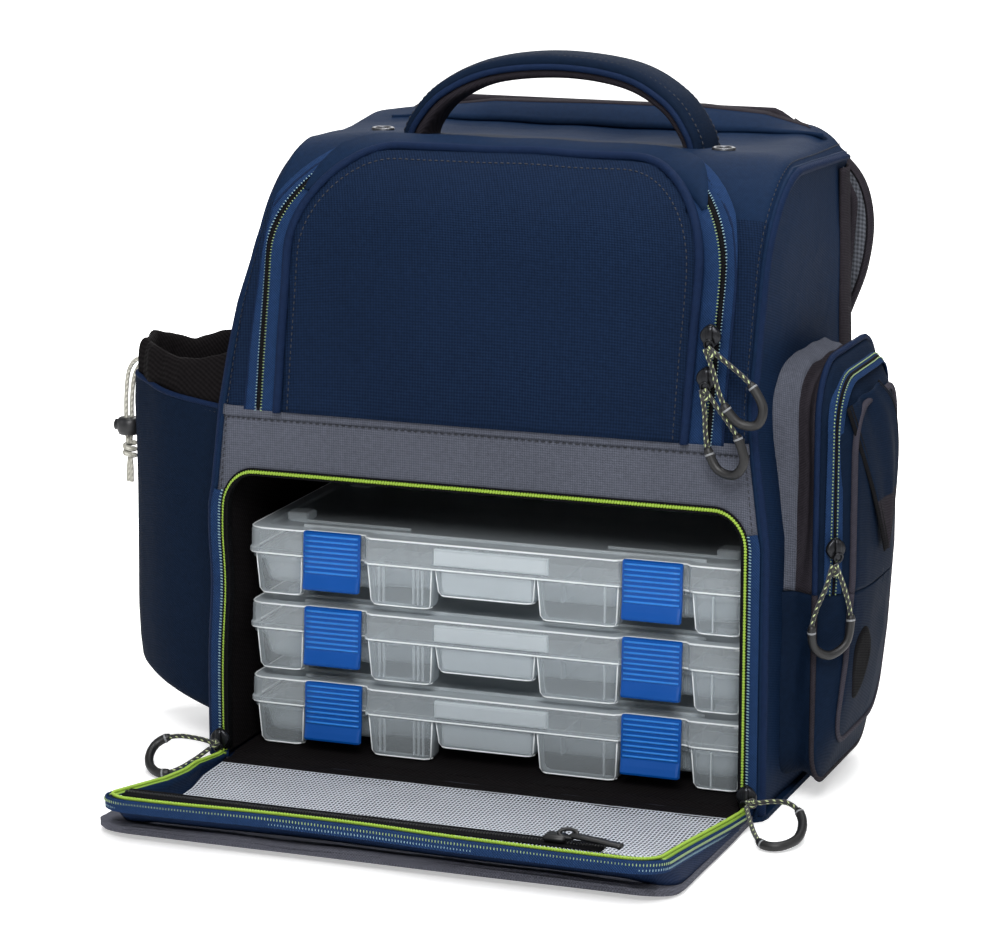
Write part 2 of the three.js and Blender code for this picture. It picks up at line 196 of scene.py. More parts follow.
def flecked_cord(name, base, fleck, pitch=7.0, width=0.34):
    """Braided cord with slanted flecks, laid out by the sweep's UV."""
    g = Graph(name)
    uv = g.add("ShaderNodeSeparateXYZ", i0=g.add("ShaderNodeTexCoord").outputs["UV"])
    spiral = g.math("MULTIPLY_ADD", uv.outputs[1], 1.15, uv.outputs[0])
    wave = g.math("SINE", g.math("MULTIPLY", spiral, FULL_TURN / pitch))
    mark = g.math("GREATER_THAN", wave, math.cos(math.pi * width))
    around = g.math("GREATER_THAN", g.math("SINE", g.math("MULTIPLY", uv.outputs[1], 3.2)), 0.15)
    on = g.math("MULTIPLY", mark, around)
    a = g.math("SINE", g.math("MULTIPLY", g.math("ADD", uv.outputs[0], uv.outputs[1]), 6.0))
    b = g.math("SINE", g.math("MULTIPLY", g.math("SUBTRACT", uv.outputs[0], uv.outputs[1]), 6.0))
    braid = g.math("MULTIPLY", a, b)
    shade = g.mix(g.math("MULTIPLY_ADD", braid, 0.5, 0.5), scale_colour(linear(base), 0.6),
                  scale_colour(linear(base), 1.4))
    colour = g.mix(on, shade, linear(fleck))
    n = g.bump(0.5, 0.0004, braid)
    return g.set(Base_Color=colour, Roughness=0.7, Normal=n, Sheen_Weight=0.2)


NAVY = cloth("navy_weave", "#0f1d33", 2.1, "diamond", 0.42, 0.5, rough=0.8)
NAVY_FINE = cloth("navy_smooth", "#0f2038", 1.3, "plain", 0.22, 0.25, rough=0.68)
# A darker copy of navy_smooth, used on the pockets and the handle's top; part of its darkness is painted
# shade of the pockets' shaded sides.
NAVY_DEEP = cloth("navy_deep", "#0a1729", 1.3, "plain", 0.22, 0.25, rough=0.74)
NAVY_TRIM = cloth("navy_trim", "#12203a", 1.1, "plain", 0.25, 0.3, rough=0.66)
TAPE = cloth("navy_zip_tape", "#1a2f50", 1.0, "twill", 0.35, 0.35, rough=0.75)
SLATE = cloth("slate_twill", "#4c4f59", 1.7, "diamond", 0.32, 0.45)
FELT = cloth("door_felt", "#54555e", 1.5, "plain", 0.3, 0.5)
MAUVE = cloth("mauve_piping", "#35333b", 1.2, "plain", 0.3, 0.4)
# Charcoal cloth for bindings and the handle's underside; also laid on the grey gusset's outer part as painted
# shade.
CHARCOAL = cloth("charcoal_binding_and_shade", "#28252a", 1.4, "plain", 0.4, 0.45)
LINER = cloth("black_liner", "#121011", 2.2, "twill", 0.35, 0.3)
BLACK_TAPE = cloth("black_tape", "#101012", 1.2, "plain", 0.4, 0.4)
AIR_MESH = cloth("air_mesh", "#575a61", 3.0, "diamond", 0.6, 0.9)
BLACK_MESH = cloth("black_air_mesh", "#2a2b2f", 3.4, "diamond", 0.7, 0.9)
WEBBING = cloth("webbing", "#222226", 2.2, "twill", 0.5, 0.6, by_uv=True)
NET = plastic("white_net", "#c9ced6", 0.6)
LIME = plastic("lime_teeth", "#86a530", 0.45)
LIME_TAPE = plastic("lime_flange", "#7a9a34", 0.55)
NET_SHADE = cloth("net_shade", "#5c6068", 3.0, "plain", 0.3, 0.2)
CLEAR_EDGE = frosted("frosted_edge", "#dbe4e9", 0.34)
CLEAR_CUP = frosted("frosted_cup", "#c6d0d6", 0.27)
# Painted highlight: near-white, fairly solid tubes laid along the trays' moulded edges stand in for the light
# those edges catch.
EDGE_PAINTED_HIGHLIGHT = frosted("painted_edge_highlight", "#f0f5f7", 0.75)
BAND_GREY = plastic("sleeve_band", "#77797c", 0.5)
PALE_THREAD = plastic("pale_thread", "#7d9aa2", 0.75)
DARK_THREAD = plastic("dark_thread", "#23252c", 0.8)
GREEN_THREAD = plastic("green_thread", "#7f946a", 0.75)
CLEAR = frosted("frosted_tray", "#bcc7ce", 0.17)
CLEAR_LID = frosted("frosted_lid", "#d3dde3", 0.27)
LATCH = plastic("latch_blue", "#024590", 0.34, shine=0.28)
LATCH_PALE = plastic("latch_ridge", "#2676c8", 0.35)
RUBBER = plastic("puller_rubber", "#0c0c0e", 0.5, bump=0.2)
METAL = plastic("dark_metal", "#2a2b2e", 0.32, metal=0.85)
STEEL = plastic("eyelet_metal", "#55565a", 0.35, metal=0.9)
BUCKLE = plastic("buckle_plastic", "#1b1c1f", 0.4, bump=0.15)
CORD = flecked_cord("flecked_cord", "#0d0e11", "#b9c58e", 3.6, 0.3)
PALE_CORD = flecked_cord("pale_cord", "#a9a79c", "#d9d7cc", 3.2, 0.5)


# ---------------------------------------------------------------- mesh helpers (millimetres)

def piece(name, verts, faces, looks, body, uv=None, face_looks=None, hides=(), smooth=True):
    """One finished object from points in millimetres; uv is one pair per face corner."""
    if name.startswith(SHELL_NAMES):
        verts = settle(verts)
    if name.startswith("side_") and "gusset" not in name and "cloth_" not in name:
        verts = slim(verts)
    if name.startswith(RIM_NAMES):
        verts = draw_in(verts)
    if name.startswith(("door_outer", "door_base")):
        verts = kick_out(verts)
    mesh = bpy.data.meshes.new(name)
    mesh.from_pydata((np.asarray(verts, float) * MM).tolist(), [], [list(map(int, f)) for f in faces])
    looks = looks if isinstance(looks, (list, tuple)) else [looks]
    for look in looks:
        mesh.materials.append(look)
    if face_looks is not None:
        mesh.polygons.foreach_set("material_index", np.asarray(face_looks, np.int32))
    if uv is not None:
        layer = mesh.uv_layers.new(name="UVMap")
        layer.data.foreach_set("uv", np.asarray(uv, np.float32).ravel())
    mesh.validate()
    mesh.update()
    if smooth:
        mesh.shade_smooth()
    obj = bpy.data.objects.new(name, mesh)
    bpy.context.scene.collection.objects.link(obj)
    if body:
        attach(obj, body)
    if hides:
        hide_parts(*hides)
    return obj


def unit(v):
    """Vectors of length one."""
    v = np.asarray(v, float)
    return v / np.maximum(np.linalg.norm(v, axis=-1, keepdims=True), 1e-9)


def spline(points, step=2.0, closed=False):
    """Smooth line through points, resampled at equal steps."""
    p = np.asarray(points, float)
    n = len(p)
    out = []
    for i in range(n if closed else n - 1):
        if closed:
            a, b, c, d = (p[(i + k) % n] for k in (-1, 0, 1, 2))
        else:
            a, b, c, d = p[max(i - 1, 0)], p[i], p[i + 1], p[min(i + 2, n - 1)]
        for t in np.linspace(0, 1, 12, endpoint=False):
            out.append(0.5 * (2 * b + (c - a) * t + (2 * a - 5 * b + 4 * c - d) * t ** 2
                              + (3 * b - a - 3 * c + d) * t ** 3))
    out.append(p[0] if closed else p[-1])
    return resample(np.array(out), step, closed)


def resample(p, step, closed=False):
    """The same line with its points about a step apart."""
    p = np.asarray(p, float)
    d = np.r_[0, np.cumsum(np.linalg.norm(np.diff(p, axis=0), axis=1))]
    n = max(int(round(d[-1] / step)), 2)
    t = np.linspace(0, d[-1], n + 1)
    q = np.stack([np.interp(t, d, p[:, k]) for k in range(p.shape[1])], 1)
    return q[:-1] if closed else q


def frames(path, up, closed=False):
    """Tangent, side and normal at each point; the normal is as near to up as it can be."""
    if closed:
        t = unit(np.roll(path, -1, 0) - np.roll(path, 1, 0))
    else:
        t = unit(np.gradient(path, axis=0))
    up = np.broadcast_to(np.asarray(up, float), path.shape)
    side = unit(np.cross(t, up))
    return t, side, np.cross(side, t)


def round_section(r, sides=8, flat=1.0):
    a = circle(sides)
    return np.stack([r * np.cos(a), r * flat * np.sin(a)], 1)


def strap_section(width, thick, corner=0.35):
    """Flat section with cut corners."""
    w, t, c = width / 2, thick / 2, min(thick * corner, width / 2)
    return np.array([(w - c, -t), (w, -t + c), (w, t - c), (w - c, t),
                     (-w + c, t), (-w, t - c), (-w, -t + c), (-w + c, -t)])


def circle(n):
    """Angles of n even places round a full turn."""
    return np.linspace(0, FULL_TURN, n, endpoint=False)


def xyz(x, y, z):
    """Points from three coordinates, each one number or an array."""
    return np.stack(np.broadcast_arrays(*(np.asarray(c, float) for c in (x, y, z))), -1)


def grid(x0, x1, nx, y0, y1, ny):
    """Two even ranges crossed; the first runs along the first axis."""
    return np.meshgrid(np.linspace(x0, x1, nx), np.linspace(y0, y1, ny), indexing="ij")


def recount(line, n):
    """The same line drawn with n points, shared out by index."""
    line = np.asarray(line, float)
    old, new = np.linspace(0, 1, len(line)), np.linspace(0, 1, n)
    return np.stack([np.interp(new, old, c) for c in line.T], 1)


def rounded_path(x0, x1, foot, top, r, counts, step):
    """Up one side from the foot, over two round corners of radius r and down the other side.

    counts holds the points of a side, a quarter turn and the top.
    """
    side, turn, across = counts
    a = np.linspace(0, math.pi / 2, turn)[1:-1]
    up = math.copysign(1, top - foot)
    ends = np.linspace(foot, top - up * r, side)
    bend = top - up * r * (1 - np.sin(a))
    parts = [np.column_stack([np.full(side, x0), ends]),
             np.column_stack([x0 + r - r * np.cos(a), bend]),
             np.column_stack([np.linspace(x0 + r, x1 - r, across), np.full(across, top)]),
             np.column_stack([x1 - r + r * np.cos(a), bend])[::-1],
             np.column_stack([np.full(side, x1), ends])[::-1]]
    return resample(np.vstack(parts), step)


def ramp(v, start, end):
    """How far v is on the way from start to end, between 0 and 1."""
    return np.clip((np.asarray(v, float) - start) / (end - start), 0, 1)


def to_rim(n):
    """How many points each of n is away from the nearer end."""
    return np.minimum(np.arange(n), np.arange(n)[::-1])


def swept(path, section, up, closed=False, scale=None):
    """Points, faces and corner UVs of a section carried along a path."""
    t, side, normal = frames(path, up, closed)
    n, k = len(path), len(section)
    s = np.ones((n, 2)) if scale is None else np.asarray(scale, float).reshape(n, -1) * np.ones((n, 2))
    rings = (path[:, None] + (section[None, :, :1] * s[:, None, :1]) * side[:, None]
             + (section[None, :, 1:] * s[:, None, 1:]) * normal[:, None])
    along = np.r_[0, np.cumsum(np.linalg.norm(np.diff(path, axis=0), axis=1))]
    around = np.r_[0, np.cumsum(np.linalg.norm(np.diff(np.vstack([section, section[:1]]), axis=0), axis=1))]
    step = along[-1] / (n - 1)
    faces, uv = [], []
    for i in range(n if closed else n - 1):
        for j in range(k):
            a, b = i * k + j, i * k + (j + 1) % k
            c, d = ((i + 1) % n) * k + (j + 1) % k, ((i + 1) % n) * k + j
            faces.append((a, d, c, b))
            u0, u1 = along[i], along[i] + step
            uv += [(u0, around[j]), (u1, around[j]), (u1, around[j + 1]), (u0, around[j + 1])]
    if not closed:
        faces += [tuple(range(k)), tuple(range((n - 1) * k + k - 1, (n - 1) * k - 1, -1))]
        uv += [(0, 0)] * (2 * k)
    return rings.reshape(-1, 3), faces, uv


def sweep(name, path, section, look, body, up=(0, 0, 1), closed=False, scale=None, hides=()):
    """A finished cord, binding or tape: a section carried along a path."""
    v, f, uv = swept(path, section, up, closed, scale)
    return piece(name, v, f, look, body, uv, hides=hides)


def merge(parts):
    """One point and face list out of several (points, faces) pairs."""
    verts, faces, base = [], [], 0
    for v, f, *_ in parts:
        verts.append(np.asarray(v, float))
        faces += [[i + base for i in face] for face in f]
        base += len(v)
    return np.vstack(verts), faces


def pill(segments=6, rings=3):
    """Unit ellipsoid used for zip teeth and stitches."""
    v, f = [(0, 0, 1)], []
    for i in range(1, rings + 1):
        p = math.pi * i / (rings + 1)
        for j in range(segments):
            q = FULL_TURN * j / segments
            v.append((math.sin(p) * math.cos(q), math.sin(p) * math.sin(q), math.cos(p)))
    v.append((0, 0, -1))
    last = len(v) - 1
    for j in range(segments):
        k = (j + 1) % segments
        f.append((0, 1 + j, 1 + k))
        for i in range(rings - 1):
            a = 1 + i * segments
            f.append((a + j, a + segments + j, a + segments + k, a + k))
        f.append((last, last - segments + k, last - segments + j))
    return np.array(v), f


def beads(path, up, size, shift=(0, 0), lean=0.0, segments=6, rings=2):
    """Small ellipsoids of half-sizes (along, across, high) at each point of a path."""
    t, side, normal = frames(path, up)
    v, f = pill(segments, rings)
    t, side = t * math.cos(lean) + side * math.sin(lean), side * math.cos(lean) - t * math.sin(lean)
    centre = path + side * shift[0] + normal * shift[1]
    pts = (centre[:, None] + v[None, :, :1] * size[0] * t[:, None]
           + v[None, :, 1:2] * size[1] * side[:, None] + v[None, :, 2:] * size[2] * normal[:, None])
    faces = [[i + b * len(v) for i in face] for b in range(len(path)) for face in f]
    return pts.reshape(-1, 3), faces


def bead_row(name, path, up, size, look, body, pitch=0.0, shift=(0, 0), lean=0.0, shape=(6, 2), hides=()):
    """Zip teeth or stitches: a row of beads, spaced by pitch when one is given."""
    if pitch:
        even = resample(path, pitch)
        path, up = even, resample_up(path, up, len(even))
    v, f = beads(path, up, size, shift, lean, *shape)
    return piece(name, v, f, look, body, hides=hides)


def stitches(name, path, up, look, body, pitch=3.4, shift=(0, 0), width=0.34, lift=0.25, length=0.36):
    """A stitch row; width, and length as a share of the pitch, are half-sizes."""
    size = (pitch * length, width, width)
    return bead_row(name, path, up, size, look, body, pitch, (shift[0], shift[1] + lift))


def resample_up(path, up, n):
    """Carries one up vector per point over to a path with n points."""
    up = np.asarray(up, float)
    if up.ndim == 1:
        return up
    d = np.r_[0, np.cumsum(np.linalg.norm(np.diff(path, axis=0), axis=1))]
    t = np.linspace(0, d[-1], n)
    return unit(np.stack([np.interp(t, d, up[:, k]) for k in range(3)], 1))


def sheet_faces(nu, nv):
    return [(i * nv + j, (i + 1) * nv + j, (i + 1) * nv + j + 1, i * nv + j + 1)
            for i in range(nu - 1) for j in range(nv - 1)]


def thicken(obj, mm, offset=-1.0):
    """Gives cloth its thickness: inwards at offset -1, both ways at 0, outwards at 1."""
    m = obj.modifiers.new("thickness", "SOLIDIFY")
    m.thickness = mm * MM
    m.offset = offset
    return obj


def sheet(name, points, look, body, flip=False, thick=0.0, offset=-1.0, **more):
    """Cloth over a grid of points, with a thickness when one is given."""
    faces = sheet_faces(*points.shape[:2])
    if flip:
        faces = [f[::-1] for f in faces]
    obj = piece(name, points.reshape(-1, 3), faces, look, body, **more)
    return thicken(obj, thick, offset) if thick else obj


def smooth_more(obj):
    """One round of subdivision."""
    m = obj.modifiers.new("smooth", "SUBSURF")
    m.levels = m.render_levels = 1
    return obj


CLOTH_FRAMES = 20
CLOTH_PRESSURE = 4.0
CLOTH_VOXEL = 3.0


def puff_up(obj, held, cap):
    """Cloth pass for a padded piece: remeshed evenly, then inflated without gravity.

    held tells which points stay put, from their places in millimetres; no point moves further than cap.
    """
    even = obj.modifiers.new("even", "REMESH")
    even.mode, even.voxel_size = "VOXEL", CLOTH_VOXEL * MM
    obj.data = evaluated_copy(obj)
    obj.modifiers.clear()
    start = coordinates(obj.data)
    pin = obj.vertex_groups.new(name="held")
    pin.add([int(i) for i in np.nonzero(held(start / MM))[0]], 1.0, "REPLACE")
    s = obj.modifiers.new("cloth", "CLOTH").settings
    s.use_pressure, s.uniform_pressure_force, s.vertex_group_mass = True, CLOTH_PRESSURE, "held"
    s.effector_weights.gravity = 0.0
    scene = bpy.context.scene
    for n in range(1, CLOTH_FRAMES + 1):
        scene.frame_set(n)
    moved = evaluated_copy(obj)
    step = coordinates(moved) - start
    far = np.maximum(np.linalg.norm(step, axis=1, keepdims=True), 1e-9)
    end = start + step * np.minimum(1, cap * MM / far)
    obj.modifiers.clear()
    obj.vertex_groups.clear()
    obj.data.vertices.foreach_set("co", end.ravel())
    obj.data.shade_smooth()
    bpy.data.meshes.remove(moved)
    scene.frame_set(1)
    return smooth_more(obj)


def evaluated_copy(obj):
    bpy.context.view_layer.update()
    return bpy.data.meshes.new_from_object(obj.evaluated_get(bpy.context.evaluated_depsgraph_get()))


def coordinates(mesh):
    co = np.empty(len(mesh.vertices) * 3)
    mesh.vertices.foreach_get("co", co)
    return co.reshape(-1, 3)


def drop_onto(obj, p, n, reach=14.0):
    """Moves each point along its normal onto the finished surface of obj, in millimetres."""
    tree = BVHTree.FromObject(obj, bpy.context.evaluated_depsgraph_get())
    out = np.array(p, float)
    for i in range(len(out)):
        hit = tree.ray_cast((out[i] + n[i] * reach) * MM, -n[i], 2 * reach * MM)[0]
        if hit is not None:
            out[i] = np.array(hit) / MM
    return out


def ripple(*coords, size, seed):
    """Gentle cloth unevenness between -1 and 1, the same on every run."""
    r = np.random.default_rng(seed)
    out, waves = 0, 5
    for _ in range(waves):
        k = r.normal(size=len(coords)) / size * 3
        out = out + np.sin(sum(a * b for a, b in zip(coords, k)) + r.uniform(0, 6.3))
    return out / waves


# ---------------------------------------------------------------- the bag's soft shell

def lean_x(z):
    """The loaded bag leans a little to the right above the tray bay."""
    return 0.08 * np.clip(np.asarray(z, float) - 192, 0, None)


def lean(p):
    return np.array([p[0] + lean_x(p[2]), p[1], p[2]], float)


def settle(p):
    """Lean, a narrower upper body and a slumped left shoulder, applied to shell points."""
    p = np.array(p, float)
    x, y, z = p[..., 0].copy(), p[..., 1], p[..., 2].copy()
    near = ramp(x, -120, -135) * ramp(z, 150, 120) * (y < -70)
    x = x - 2.4 * near * (1 - np.exp(-((z - 100) / 30) ** 2))
    rear = ramp(y, FRONT, BACK) ** 1.5
    left = np.interp(z, [140, 200, 220, 247, 273, 291, 306, 329],
                     [1, 0.75, 0.67, 0.53, 0.32, 0.22, 0.2, 0.15])
    right = np.interp(z, [140, 210], [1, 0.68])
    keep = np.where(x < 0, left, right) * (1 - rear) + np.interp(z, [140, 220, 329], [1, 0.9, 0.75]) * rear
    inner, outer = 121, 28
    past = np.abs(x) - inner
    pulled = np.minimum(np.abs(x), inner) + np.clip(past, 0, outer) * keep + np.clip(past - outer, 0, None)
    high = ramp(z, 225, 329)
    slump = 9 * ramp(x, -90, -149) ** 1.7 * high * high * (3 - 2 * high)
    drop = ramp(np.abs(x), 116, 149) ** 2 * high ** 3 * np.where(x > 0, 1, rear)
    p[..., 0] = np.sign(x) * pulled + lean_x(z) * (1 - 0.95 * rear)
    p[..., 2] = z - slump - (3.0 + 10 * rear) * drop
    return p


def wrap_point(x, s, lift=0.0):
    """A point on the front-and-top skin: x across, s along it from the ground up and over."""
    x, s = np.broadcast_arrays(np.asarray(x, float), np.asarray(s, float))
    a = np.clip((s - ARC_Z) / SHOULDER, 0, math.pi / 2)
    over = np.clip(s - ARC_Z - ARC_LEN, 0, None)
    n = np.stack([np.zeros_like(a), -np.cos(a), np.sin(a)], -1)
    p = np.stack([x, ARC_Y - SHOULDER * np.cos(a) + over,
                  np.where(s < ARC_Z, s, ARC_Z + SHOULDER * np.sin(a))], -1)
    edge = np.abs(x) / HALF_W
    soft = 1.2 * ripple(x, s, size=70, seed=3) * (1 - edge ** 6) * ramp(s, 150, 230)
    sag = -5.0 * ramp(over, 0, 50) * (1 - edge ** 4) * ramp(over, BACK - ARC_Y, BACK - ARC_Y - 30)
    turn = -5.0 * ramp(edge, 0.93, 1) ** 2
    return p + n * (soft + sag + turn + lift)[..., None], n


def s_of_z(z):
    """Length along the skin where the front reaches height z."""
    return np.where(z < ARC_Z, z, ARC_Z + SHOULDER * np.arcsin(ramp(z, ARC_Z, TOP)))


def arch_outline(half, z0, z1, corner, step=3.0):
    """Up the left side, over rounded corners and down the right, as (x, z)."""
    return rounded_path(-half, half, z0, z1, corner, (12, 13, 12), step)


def on_skin(outline, lift=0.0):
    """An (x, z) line laid on the skin: points and their outward normals."""
    return wrap_point(outline[:, 0], s_of_z(outline[:, 1]), lift)


def inside_arch(x, z, half, z0, z1, corner):
    """True at the points that lie inside an arch with a straight foot."""
    ax = np.abs(x)
    in_box = (ax < half) & (z > z0) & (z < z1)
    cx, cz = half - corner, z1 - corner
    outside = (ax > cx) & (z > cz) & ((ax - cx) ** 2 + (z - cz) ** 2 > corner ** 2)
    return in_box & ~outside


def skin_sheet(name, s0, s1, hole, looks, pick, hides, z_grid=3.0):
    """Part of the skin as a sheet, with an arch-shaped hole whose edge is pulled onto the arch."""
    xs = np.linspace(-HALF_W, HALF_W, 101)
    ss = np.linspace(s0, s1, int((s1 - s0) / z_grid) + 1)
    x, s = np.meshgrid(xs, ss, indexing="ij")
    z = np.where(s < ARC_Z, s, ARC_Z + SHOULDER * np.sin(np.clip((s - ARC_Z) / SHOULDER, 0, math.pi / 2)))
    front = s < ARC_Z + ARC_LEN * 0.98
    gone = inside_arch(x, z, *hole) & front
    outline = arch_outline(*hole, step=0.7)
    faces, used = [], set()
    nv = len(ss)
    for f in sheet_faces(len(xs), nv):
        inside = [bool(gone[i // nv, i % nv]) for i in f]
        if all(inside):
            continue
        faces.append(f)
        used.update(i for i, g in zip(f, inside) if g)
    for i in used:
        a, b = divmod(i, nv)
        near = outline[np.argmin((outline[:, 0] - x[a, b]) ** 2 + (outline[:, 1] - z[a, b]) ** 2)]
        x[a, b], s[a, b] = near[0], s_of_z(near[1])
    p, _ = wrap_point(x, s)
    centre = [np.mean([(x.flat[i], s.flat[i]) for i in f], 0) for f in faces]
    obj = piece(name, p.reshape(-1, 3), faces, looks, "bag", face_looks=[pick(*c) for c in centre],
                hides=hides)
    return thicken(obj, 2.2)


def side_panel(name, sign, hides):
    """Side cloth filling the side view's outline, slightly domed."""
    rows = []
    foot, top, back = 2, TOP - 1.5, BACK + 2
    for z in np.linspace(foot, top, 60):
        rise = max(z - ARC_Z, 0)
        front = ARC_Y - math.sqrt(max(SHOULDER ** 2 - rise ** 2, 0)) + 1.5
        y = np.linspace(front, back, 40)
        d = np.minimum(1, np.minimum((y - front) / 40, (back - y) / 40))
        dome = 2.5 * np.sin(d * math.pi / 2) * min(1, (top - z) / 50, (z - foot) / 30)
        soft = 0.9 * ripple(y, np.full_like(y, z), size=50, seed=5 + sign)
        low = -1.5 * max(0, 1 - (z - foot) / 12) ** 2
        rows.append(xyz(sign * (148.2 + dome + soft * d + low), y, z))
    return sheet(name, np.array(rows), NAVY_FINE, "bag", sign > 0, 2, hides=hides)


def edge_line(x, s0, s1, lift=0.0, step=3.0):
    """Points and normals up the skin at one x."""
    s = np.linspace(s0, s1, int((s1 - s0) / step))
    return wrap_point(np.full_like(s, x), s, lift)


def build_shell():
    """Front and top skins with their openings, both sides, edge pipings and the band's seam."""
    mouth, lid_hole = (139.0, -20.0, 158.6, 16.0), (113.0, 196.0, 317.0, 46.0)
    skin_sheet("upper_skin", 189.8, WRAP_LEN, lid_hole, [NAVY, NAVY_FINE],
               lambda x, s: int(s > ARC_Z + 30), ("top_wrap",))
    skin_sheet("lower_front", 3.5, 190.0, mouth, [SLATE, TAPE],
               lambda x, s: int(s <= 146), ("gray_band", "front_strip_left", "front_strip_right"), 2.5)
    for side, s in SIDES:
        side_panel(f"side_cloth_{side}", s, (f"side_panel_{side}",))
    edge_x = 148.3
    for side, s in SIDES:
        p, n = edge_line(s * edge_x, 4, WRAP_LEN)
        sweep(f"edge_piping_{side}", p, round_section(2.7, 10), NAVY_TRIM, "bag", n)
        inner, m = edge_line(s * edge_x * 0.968, 60, WRAP_LEN, 0.35)
        stitches(f"edge_stitch_{side}", inner, m, DARK_THREAD, "bag", 3.2)
    line, n = wrap_point(np.linspace(-146, 146, 120), 190.2, 0.9)
    sweep("band_seam", line, strap_section(5.5, 1.2), SLATE, "bag", n)
    line, n = wrap_point(np.linspace(-145, 145, 120), 186.4, 0.3)
    stitches("band_stitch", line, n, DARK_THREAD, "bag", 3.6, lift=0.15)


# ---------------------------------------------------------------- zips

def tape(name, path, up, side0, side1, look, body, thick, lift):
    """Flat strip from side0 to side1 across a line."""
    _, side, normal = frames(path, up)
    mid = path + side * (side0 + side1) / 2 + normal * lift
    return sweep(name, mid, strap_section(abs(side1 - side0), thick), look, body, up)


def build_mouth_zip():
    """Lime teeth round the tray opening, with a pale stitched row outside them."""
    p, n = on_skin(arch_outline(139.7, 9, 158.8, 16, 2.0), 0.9)
    bead_row("mouth_zip_teeth", p, n, (0.95, 1.35, 1.25), LIME, "bag", 1.5, (0, 0.2), 0.35, (8, 3),
             ("opening_zip",))
    sweep("mouth_zip_core", p, round_section(0.95, 6), LIME, "bag", n)
    sweep("mouth_zip_shadow", p + n * 0.1, strap_section(4.2, 0.9), BLACK_TAPE, "bag", n)
    for side, s in SIDES:
        run = (p[:, 2] < 147) & (s * p[:, 0] > 0)
        tape(f"mouth_tape_{side}", p[run], n[run], -1.2, -7.6, TAPE, "bag", 0.8, -0.1)
        bead_row(f"mouth_ladder_{side}", p[run], n[run], (0.36, 0.95, 0.35), PALE_THREAD, "bag", 1.55,
                 (-2.7, 0.5), 0.2)
    lip, m = on_skin(arch_outline(139.2, 9, 157.6, 15, 3.0), -2.0)
    sweep("mouth_lip", lip, strap_section(1.4, 9.0), BLACK_TAPE, "bag", m)


# ---------------------------------------------------------------- padded front lid

def polar_pad(outline, rings, height):
    """Rings drawn in from a closed (x, z) outline to its middle: points, heights and faces."""
    c = np.array([0.0, (outline[:, 1].min() + outline[:, 1].max()) / 2])
    n = len(outline)
    levels = np.linspace(1, 0, rings + 1)[:-1]
    points = np.vstack([c + (outline - c) * r for r in levels] + [c[None]])
    faces = [(k * n + j, k * n + (j + 1) % n, (k + 1) * n + (j + 1) % n, (k + 1) * n + j)
             for k in range(rings - 1) for j in range(n)]
    last = (rings - 1) * n
    faces += [(last + j, last + (j + 1) % n, rings * n) for j in range(n)]
    return points, height(points, np.r_[np.repeat(levels, n), 0]), faces


def closed_arch(half, z0, z1, corner, step, foot_points):
    """The arch outline with its straight foot, as a closed (x, z) line."""
    x = np.linspace(half, -half, foot_points)[1:-1]
    return np.vstack([arch_outline(half, z0, z1, corner, step), np.column_stack([x, np.full(len(x), z0)])])


def build_front_lid():
    """Padded lid with its piping and stitch row, the closed zip round it and its lining."""
    body = "front_lid"
    z0, z1, half = 191.6, 321.5, 107.0
    out = closed_arch(half, z0, z1, 46, 3.5, 62)
    build_lid_pad(out + unit(out - [0, 256]) * 1.9, arch_outline(half - 4.2, z0 + 3, z1 - 4.0, 43, 2.5))
    q, m = on_skin(arch_outline(half + 1.6, z0, z1 + 1.6, 47, 2.5), 4.2)
    sweep("lid_piping", q, round_section(2.3, 10), NAVY_TRIM, body, m)
    skirt = arch_outline(half + 2.6, z0, z1 + 2.4, 47.5, 2.5)
    rows = [on_skin(skirt, lift)[0] for lift in (0.3, 1.6, 3.0, 4.4)]
    sheet("lid_pad_wall", np.stack(rows, 1), NAVY_TRIM, body)
    line = arch_outline(120.2, 191.5, 325.6, 52, 2.0)
    q, m = on_skin(line, 1.2)
    tape("lid_tape_inner", q, m, 1.6, 12.5, TAPE, body, 0.8, 0.1)
    bead_row("lid_teeth_inner_b", q, m, (0.34, 0.7, 0.35), GREEN_THREAD, body, 1.6, (1.7, 0.5))
    tape("lid_tape_outer", q, m, -1.6, -9.5, TAPE, "bag", 0.8, 0.0)
    bead_row("lid_teeth_outer_a", q, m, (0.34, 0.7, 0.35), PALE_THREAD, "bag", 1.6, (-1.7, 0.5))
    tape("lid_zip_closed", q, m, 1.1, -1.1, BLACK_TAPE, body, 1.0, -0.1)
    q, m = on_skin(line[line[:, 1] > 306], 2.1)
    side = frames(q, m)[1]
    narrow = np.column_stack([np.clip(0.15 + to_rim(len(q)) / 14, 0, 1), np.ones(len(q))])
    sweep("lid_tape_cover", q + side * (4.4 - 4.4 * narrow[:, :1]), strap_section(19.0, 0.9), NAVY_FINE, body,
          m, scale=narrow)
    q, m = on_skin(arch_outline(129.6, 191.5, 327.6, 60, 2.5), 0.9)
    sweep("lid_outer_seam", q, round_section(1.1, 6), NAVY_TRIM, "bag", m)
    flat, h, faces = polar_pad(closed_arch(118, z0, 322, 50, 4.0, 42), 8, lambda p, r: np.full(len(p), 0.1))
    p = on_skin(flat, h)[0]
    thicken(piece("lid_lining", p, faces, LINER, body), 1.0)


